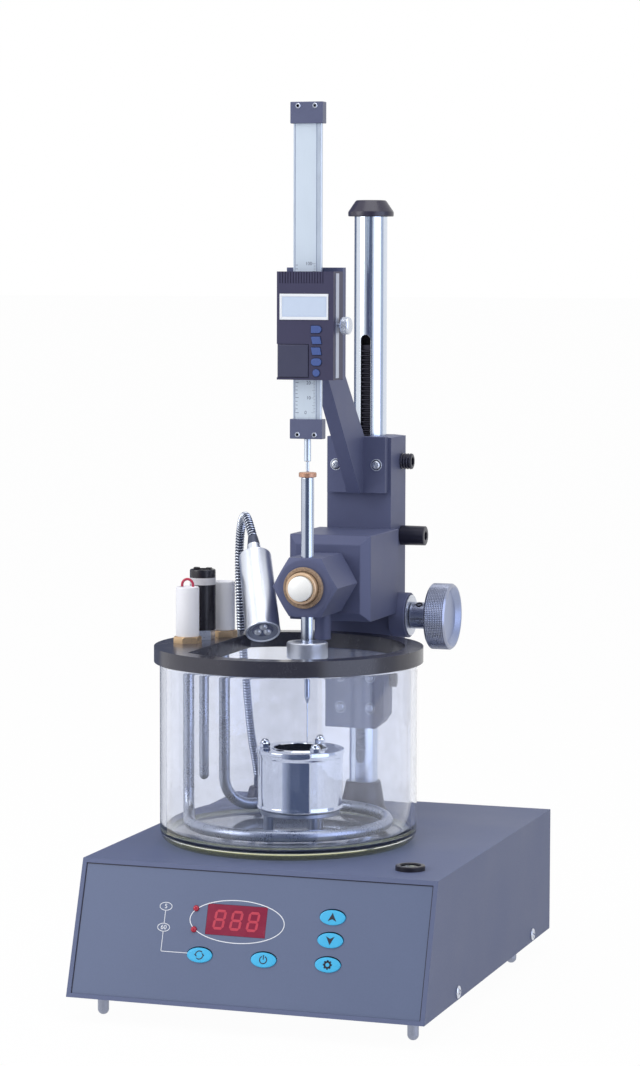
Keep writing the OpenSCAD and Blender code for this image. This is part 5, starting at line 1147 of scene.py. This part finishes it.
def on_needle_axis(name, steps, material, slot, nodes=(), sides=56, ring=False):
    """A turned piece on the needle's axis."""
    turned_piece(name, steps, material, "plunger", slot, nodes, sides=sides, ring=ring, at=needle_axis)


on_needle_axis("ground_rod", [(3.9, 227.8), (4.35, 228.2), (4.35, 352.4), (4.1, 353.3), (2.0, 353.4)],
               ground_steel, "rod_steel", ["plunger_rod"])
on_needle_axis("rod_cap", [(5.4, 353.4), (6.0, 353.8), (6.0, 356.2), (5.6, 356.7), (4.4, 356.8),
                           (1.0, 356.8)],
               copper_cap, "weight_steel", ["plunger_weight"])
on_needle_axis("weight_ring", [(4.38, 230.4), (13.3, 230.4), (14.0, 231.1), (14.0, 240.9), (13.3, 241.6),
                               (8.2, 241.6), (7.6, 241.2), (4.38, 241.2), (4.38, 230.4)],
               weight_steel, "weight_steel", sides=80, ring=True)
on_needle_axis("needle_holder", [(1.6, 227.8), (1.93, 227.4), (1.93, 216.4), (1.6, 216.0), (1.6, 215.4),
                                 (1.93, 215.0), (1.93, 204.2), (1.5, 202.8), (0.6, 199.9)],
               ground_steel, "needle_steel", ["needle"], sides=40)
on_needle_axis("hard_needle", [(0.5, 201.5), (0.5, 177.5), (0.09, 171.1)], polished, "needle_steel",
               sides=24)
print("plunger turned")

# %% [markdown]
# ## Digital scale
# A moulded head in dark blue-grey slides on a stainless beam. It has a ribbed strip on
# top, a white bezel round the display, five blue keys and a battery cover. The display is
# off, so its window stays an even pale grey-blue.

# %% Scale head
moulded_abs = surface("moulded_grey_abs", "#403F5A", 0.45, grain=0.3, relief=0.008, patch=25, drift=0.05,
                      **{"Specular IOR Level": 0.25})
cover_abs = surface("battery_cover_abs", "#3B3D57", 0.38, grain=0.3, relief=0.008, drift=0.05)
white_bezel = surface("white_moulded_bezel", "#E9EDF4", 0.35, grain=0.4, relief=0.004, drift=0.02)
display_off = surface("unlit_liquid_crystal", "#C2D0E8", 0.2, grain=3, patch=12, drift=0.03, rough_drift=0.02)
polariser = surface("display_polariser", "#C6D4EA", 0.18, grain=3, patch=9, drift=0.02)
key_blue = surface("blue_rubber_key", "#3F5796", 0.45, grain=0.5, relief=0.006, drift=0.05)
side_rail = surface("bare_side_rail", "#B4BBCD", 0.35, metal=0.6, grain=0.8, relief=0.004,
                    stretch=(1, 1, 0.15))
milled_piece("scale_head", "moulded_scale_head", moulded_abs, "lift", "scale_plastic", edge=0.22)
milled_piece("scale_lcd", "display_bezel", white_bezel, "lift", "lcd", edge=0.25)


def face_plate(name, low, high, front, thick, edge, material, body):
    """A thin plate that faces the operator, from its two corners in (x, z) millimetres."""
    middle = ((low[0] + high[0]) / 2, front + thick / 2, (low[1] + high[1]) / 2)
    plate = block(name, middle, (high[0] - low[0], thick, high[1] - low[1]), edge, segments=3)
    dress(plate, material, body)


lcd_front = ends("scale_lcd")[0].y / MM
face_plate("display_window_glass", (-14.1, 461.65), (17.2, 475.0), lcd_front + 0.12, 0.3, 0.08,
           display_off, "lift")
face_plate("display_inner_frame", (-13.0, 462.6), (16.1, 474.0), lcd_front + 0.08, 0.2, 0.08,
           polariser, "lift")
for index in range(1, 6):
    milled_piece(f"scale_key_{index}", f"rubber_key_{index}", key_blue, f"small_key_{index}", "key_blue",
                 edge=0.35, segments=3)
milled_piece("battery_cover", "battery_lid", cover_abs, "battery_door", "scale_plastic", edge=0.45,
             segments=3)
face_plate("scale_side_rail", (21.7, 420.6), (22.25, 490.6), -36.6, 6.4, 0.1, side_rail, "lift")
print("scale head", [round(v / MM, 1) for v in ends("scale_head")[2]])

# %% Thumbscrew
thumb_at = (24.0 * MM, -29.75 * MM, 455.7 * MM)
thumb_steps = [(1.5, -13.7), (1.5, 0.0), (4.9, 0.0), (5.3, 0.2), (5.75, 0.9), (5.75, 1.9), (5.75, 2.9),
               (5.75, 3.9), (5.75, 4.9), (5.4, 5.6), (4.8, 6.1), (1.2, 6.2)]
thumb = turned("knurled_thumbscrew", thumb_steps, at=thumb_at, towards=(1, 0, 0))
knurl(thumb, "X", thumb_at, 5.5, 0.2)
dress(thumb, bright_zinc, "clamp_screw", ["thumbscrew"], smooth=25)
print("thumbscrew at", thumb_at)

# %% [markdown]
# ## Beam
# The beam is brushed stainless with a bright rail at both edges and a satin face between
# them. Its scale is etched: millimetre marks at the right with a plain number at every
# ten, and a second row of marks at the left.

# %% Beam
brushed_beam = surface("brushed_beam_steel", "#CFDAE8", 0.34, metal=0.75, grain=1.1, relief=0.004,
                       stretch=(6, 1, 0.12), drift=0.05)
satin_face = surface("satin_scale_face", "#D3DFEC", 0.45, metal=0.45, grain=1.6, relief=0.002,
                     stretch=(5, 1, 0.1), drift=0.03, patch=60)
etched = surface("etched_mark", "#59607A", 0.6, grain=0.3)
painted_beam_groove_shade = surface("painted_groove_shadow", "#7F8AA6", 0.5, metal=0.4, grain=1.0)
face_low, face_high, face_front, zero_z, etching = 392.2, 590.9, -31.56, 397.0, 0.06
milled_piece("scale_beam", "beam_bar", brushed_beam, "beam", "beam_steel", edge=0.3)
face_plate("beam_face", (-8.2, face_low), (6.3, face_high), face_front, 0.3, 0.05, satin_face, "beam")
# Painted shadow: two dark strips along the face's sides stand in for the shade in the beam's grooves.
for side, left, right in (("right", 6.45, 6.85), ("left", -8.75, -8.4)):
    face_plate(f"beam_groove_{side}", (left, face_low), (right, face_high), face_front + 0.02, 0.2, 0,
               painted_beam_groove_shade, "beam")


def on_beam(mark, x=0.0, z=0.0):
    """Stands a flat mark up and moves it onto the beam's face, by millimetres."""
    mark.rotation_euler = (math.pi / 2, 0, 0)
    mark.location = (x * MM, face_front * MM, z * MM)
    return settle(mark)


def beam_mark(name, left, right, height, line):
    """An etched line across the beam's face."""
    return on_beam(ink_strip(name, (left, height), (right, height), line, ink=etching))


marks = []
mark_right, fine_left, fine_pitch = 5.9, -7.9, 2.54
for step in range(101):
    length = 2.6 if step % 10 == 0 else 1.9 if step % 5 == 0 else 1.1
    if step % 5 == 0 or step < 26 or step > 90:
        marks.append(beam_mark(f"millimetre_{step}", mark_right - length, mark_right, zero_z + step, 0.16))
for step in range(40):
    length = 1.9 if step % 4 == 0 else 1.2
    height = zero_z + step * fine_pitch
    marks.append(beam_mark(f"fine_mark_{step}", fine_left, fine_left + length, height, 0.3))
for tens in range(0, 101, 10):
    figure = number(f"beam_number_{tens}", str(tens), 3.2, ink=etching)
    marks.append(on_beam(figure, -0.9 if tens == 0 else 1.2, zero_z + tens))
dress(join("beam_scale", marks), etched, "beam")
print("beam marks", len(marks))

# %% End blocks
end_grey = surface("painted_end_block", "#565C7B", 0.4, grain=0.5, relief=0.008, patch=14, drift=0.05)
milled_piece("beam_ends", "beam_end_blocks", end_grey, "beam", "end_grey", edge=0.45)
end_steps = [(1.75, -0.3), (1.75, 0.25), (1.5, 0.5), (1.0, 0.5), (0.8, 0.0), (0.2, 0.0)]
end_places = [(x * MM, -33.75 * MM, z * MM) for x in (-6, 6) for z in (382.2, 602.1)]
end_screws = [turned(f"end_screw_{index}", end_steps, sides=28, at=place, towards=(0, -1, 0))
              for index, place in enumerate(end_places)]
dress(join("end_block_screws", end_screws), bright_zinc, "beam")
print("end screws", len(end_screws))

# %% [markdown]
# ## Gooseneck
# The lamp's neck is a chromed spring tube. One rib is modelled as a short barrel, repeated
# with an Array modifier and laid along the route with a Curve modifier. The route is the
# one that the CAD neck follows, from the foot on the box up and over to the lamp.

# %% Route of the gooseneck
lamp_way = Vector((0.305, -0.589, -0.748)).normalized()
lamp_start = Vector((-53.6, 14.2, 294.4))
neck_end = lamp_start - 9 * lamp_way
neck_straight = 7.5
neck_points = [Vector(p) for p in ((-94, 129, 113.5), (-94, 129, 121.0), (-92, 107, 160), (-89, 88, 205),
                                   (-85, 71, 250), (-83, 63, 285), (-78, 53, 311), (-69, 38, 320))]
neck_points += [neck_end - neck_straight * lamp_way, neck_end]


def along_neck(index, t):
    """Point of the route's curve between two of its points."""
    last = len(neck_points) - 1
    p0, p1, p2, p3 = (neck_points[min(max(index + k, 0), last)] for k in (-1, 0, 1, 2))
    if index in (0, last - 1):
        return p1 + (p2 - p1) * t
    return 0.5 * (2 * p1 + (p2 - p0) * t + (2 * p0 - 5 * p1 + 4 * p2 - p3) * t ** 2
                  + (3 * p1 - p0 - 3 * p2 + p3) * t ** 3)


neck_route = [along_neck(i, k / 12) for i in range(len(neck_points) - 1) for k in range(12)] + [neck_end]
neck_length = sum((b - a).length for a, b in zip(neck_route, neck_route[1:]))
print("gooseneck length", round(neck_length, 2), "mm")

# %% Gooseneck
neck_chrome = surface("chromed_spring_tube", "#C3C9D6", 0.16, metal=1.0, grain=0.6, relief=0.002, drift=0.05)
painted_groove_shade = surface("painted_rib_groove_shade", "#4C5266", 0.4, metal=0.5, grain=0.5)
route_data = bpy.data.curves.new("neck_route", "CURVE")
route_data.dimensions = "3D"
route_data.resolution_u = 1
spline = route_data.splines.new("POLY")
spline.points.add(len(neck_route) - 1)
for knot, point in zip(spline.points, neck_route):
    knot.co = (*(point * MM), 1)
route_curve = bpy.data.objects.new("neck_route", route_data)
bpy.context.collection.objects.link(route_curve)
rib_count, groove_r = 110, 2.6
rib_step = (neck_length - 2 * neck_straight) / rib_count
rib_steps = [(2.2, 0), (2.25, 0.14), (2.85, 0.24), (3.18, 0.38), (3.25, 0.5), (3.18, 0.64), (2.85, 0.76),
             (2.25, 0.86), (2.2, 1.0)]
neck = turned("ribbed_neck", [(r, share * rib_step) for r, share in rib_steps], sides=20, ring=True,
              at=(neck_straight * MM, 0, 0), towards=(1, 0, 0))
neck.data.materials.append(neck_chrome)
# Painted shade: the faces deep in each groove get a dark grey, where the windings shade each other.
inlay(neck, painted_groove_shade, lambda point: point.yz.length < groove_r * MM)
apply_modifier(neck, "ARRAY", count=rib_count, use_relative_offset=False, use_constant_offset=True,
               constant_offset_displace=(rib_step * MM, 0, 0), use_merge_vertices=True,
               merge_threshold=0.02 * MM)
apply_modifier(neck, "CURVE", object=route_curve, deform_axis="POS_X")
foot_collar = turned("neck_foot_collar", [(3.2, -0.4), (3.2, 5.6), (2.95, 6.2), (2.9, 7.7)], sides=32,
                     at=neck_points[0] * MM)
lamp_collar = turned("neck_lamp_collar", [(2.9, -0.3), (3.3, 0), (3.5, 0.5), (4.6, 7.8)], sides=32,
                     at=neck_points[-2] * MM, towards=lamp_way)
discard(route_curve)
gooseneck = join("chromed_gooseneck", [neck, foot_collar, lamp_collar])
in_groove = [polygon.material_index for polygon in gooseneck.data.polygons]
dress(gooseneck, neck_chrome, "root", ["gooseneck"], smooth=38)
gooseneck.data.materials.append(painted_groove_shade)
for polygon, index in zip(gooseneck.data.polygons, in_groove):
    polygon.material_index = index
print("ribs", rib_count, "groove faces", sum(in_groove))

# %% [markdown]
# ## Lamp head
# A polished steel cone with a smooth ferrule at its back. Its front is a grey ring round a
# clear lens with three bulging lenses over the light sources.

# %% Lamp head
lamp_chrome = surface("polished_lamp_steel", "#DCE1EC", 0.33, metal=1.0, grain=0.8, relief=0.003, patch=24,
                      rough_drift=0.05, drift=0.06)
lens_ring_grey = surface("grey_lens_ring", "#80879A", 0.4, metal=0.2, grain=0.5, relief=0.005)
lens_dark = surface("lamp_reflector", "#757B94", 0.16, metal=0.3, grain=2, patch=5, drift=0.2)
lens_clear = surface("moulded_clear_lens", "#DDE2EE", 0.05, metal=0.5, grain=2, drift=0.1)
lamp_at = lamp_start * MM
shell_steps = [(4.3, -9.2), (4.6, -9.0), (5.3, -0.6), (5.6, 0.0), (10.7, 0.0), (11.2, 0.35), (11.35, 1.2),
               (12.05, 62.9), (12.1, 64.0), (11.9, 64.4), (11.2, 64.5), (10.6, 64.1), (10.5, 61.2),
               (2.0, 61.2)]
turned_piece("lamp_shell", shell_steps, lamp_chrome, "root", "lamp_chrome", ["lamp_head"], sides=96,
             at=lamp_at, towards=lamp_way)
turned_piece("lens_ring", [(7.4, 61.3), (10.45, 61.3), (10.45, 63.9), (9.9, 64.1), (7.9, 62.9), (7.4, 62.7),
                           (7.4, 61.3)],
             lens_ring_grey, "root", "lamp_chrome", sides=80, ring=True, at=lamp_at, towards=lamp_way)
turned_piece("lamp_reflector", [(7.5, 61.4), (7.5, 62.6), (2.0, 62.7)], lens_dark, "root", "lamp_chrome",
             at=lamp_at, towards=lamp_way)
side_way = lamp_way.cross(Vector((0, 0, 1))).normalized()
up_way = side_way.cross(lamp_way)
bubble_steps = [(2.9, 62.5), *arc(0, 62.2, 2.9, 8, 50, 6), (0.4, 64.35)]
bubble_ring_r = 3.9
bubbles = []
for step in range(3):
    angle = math.radians(90 + 120 * step)
    centre = lamp_at + (side_way * math.cos(angle) + up_way * math.sin(angle)) * bubble_ring_r * MM
    bubbles.append(turned(f"lens_bubble_{step}", bubble_steps, sides=32, at=centre, towards=lamp_way))
dress(join("lens_bubbles", bubbles), lens_clear, "root")
turned_piece("lamp_foot", [(8.7, 0.0), (9.0, 0.4), (9.0, 1.4), (6.7, 9.0), (6.3, 9.7), (5.6, 10.0),
                           (1.0, 10.0)],
             blackened, "root", "black_fitting",
             at=(neck_points[0].x * MM, neck_points[0].y * MM, cover_high.z))
print("lamp head", [round(v, 1) for v in lamp_start])
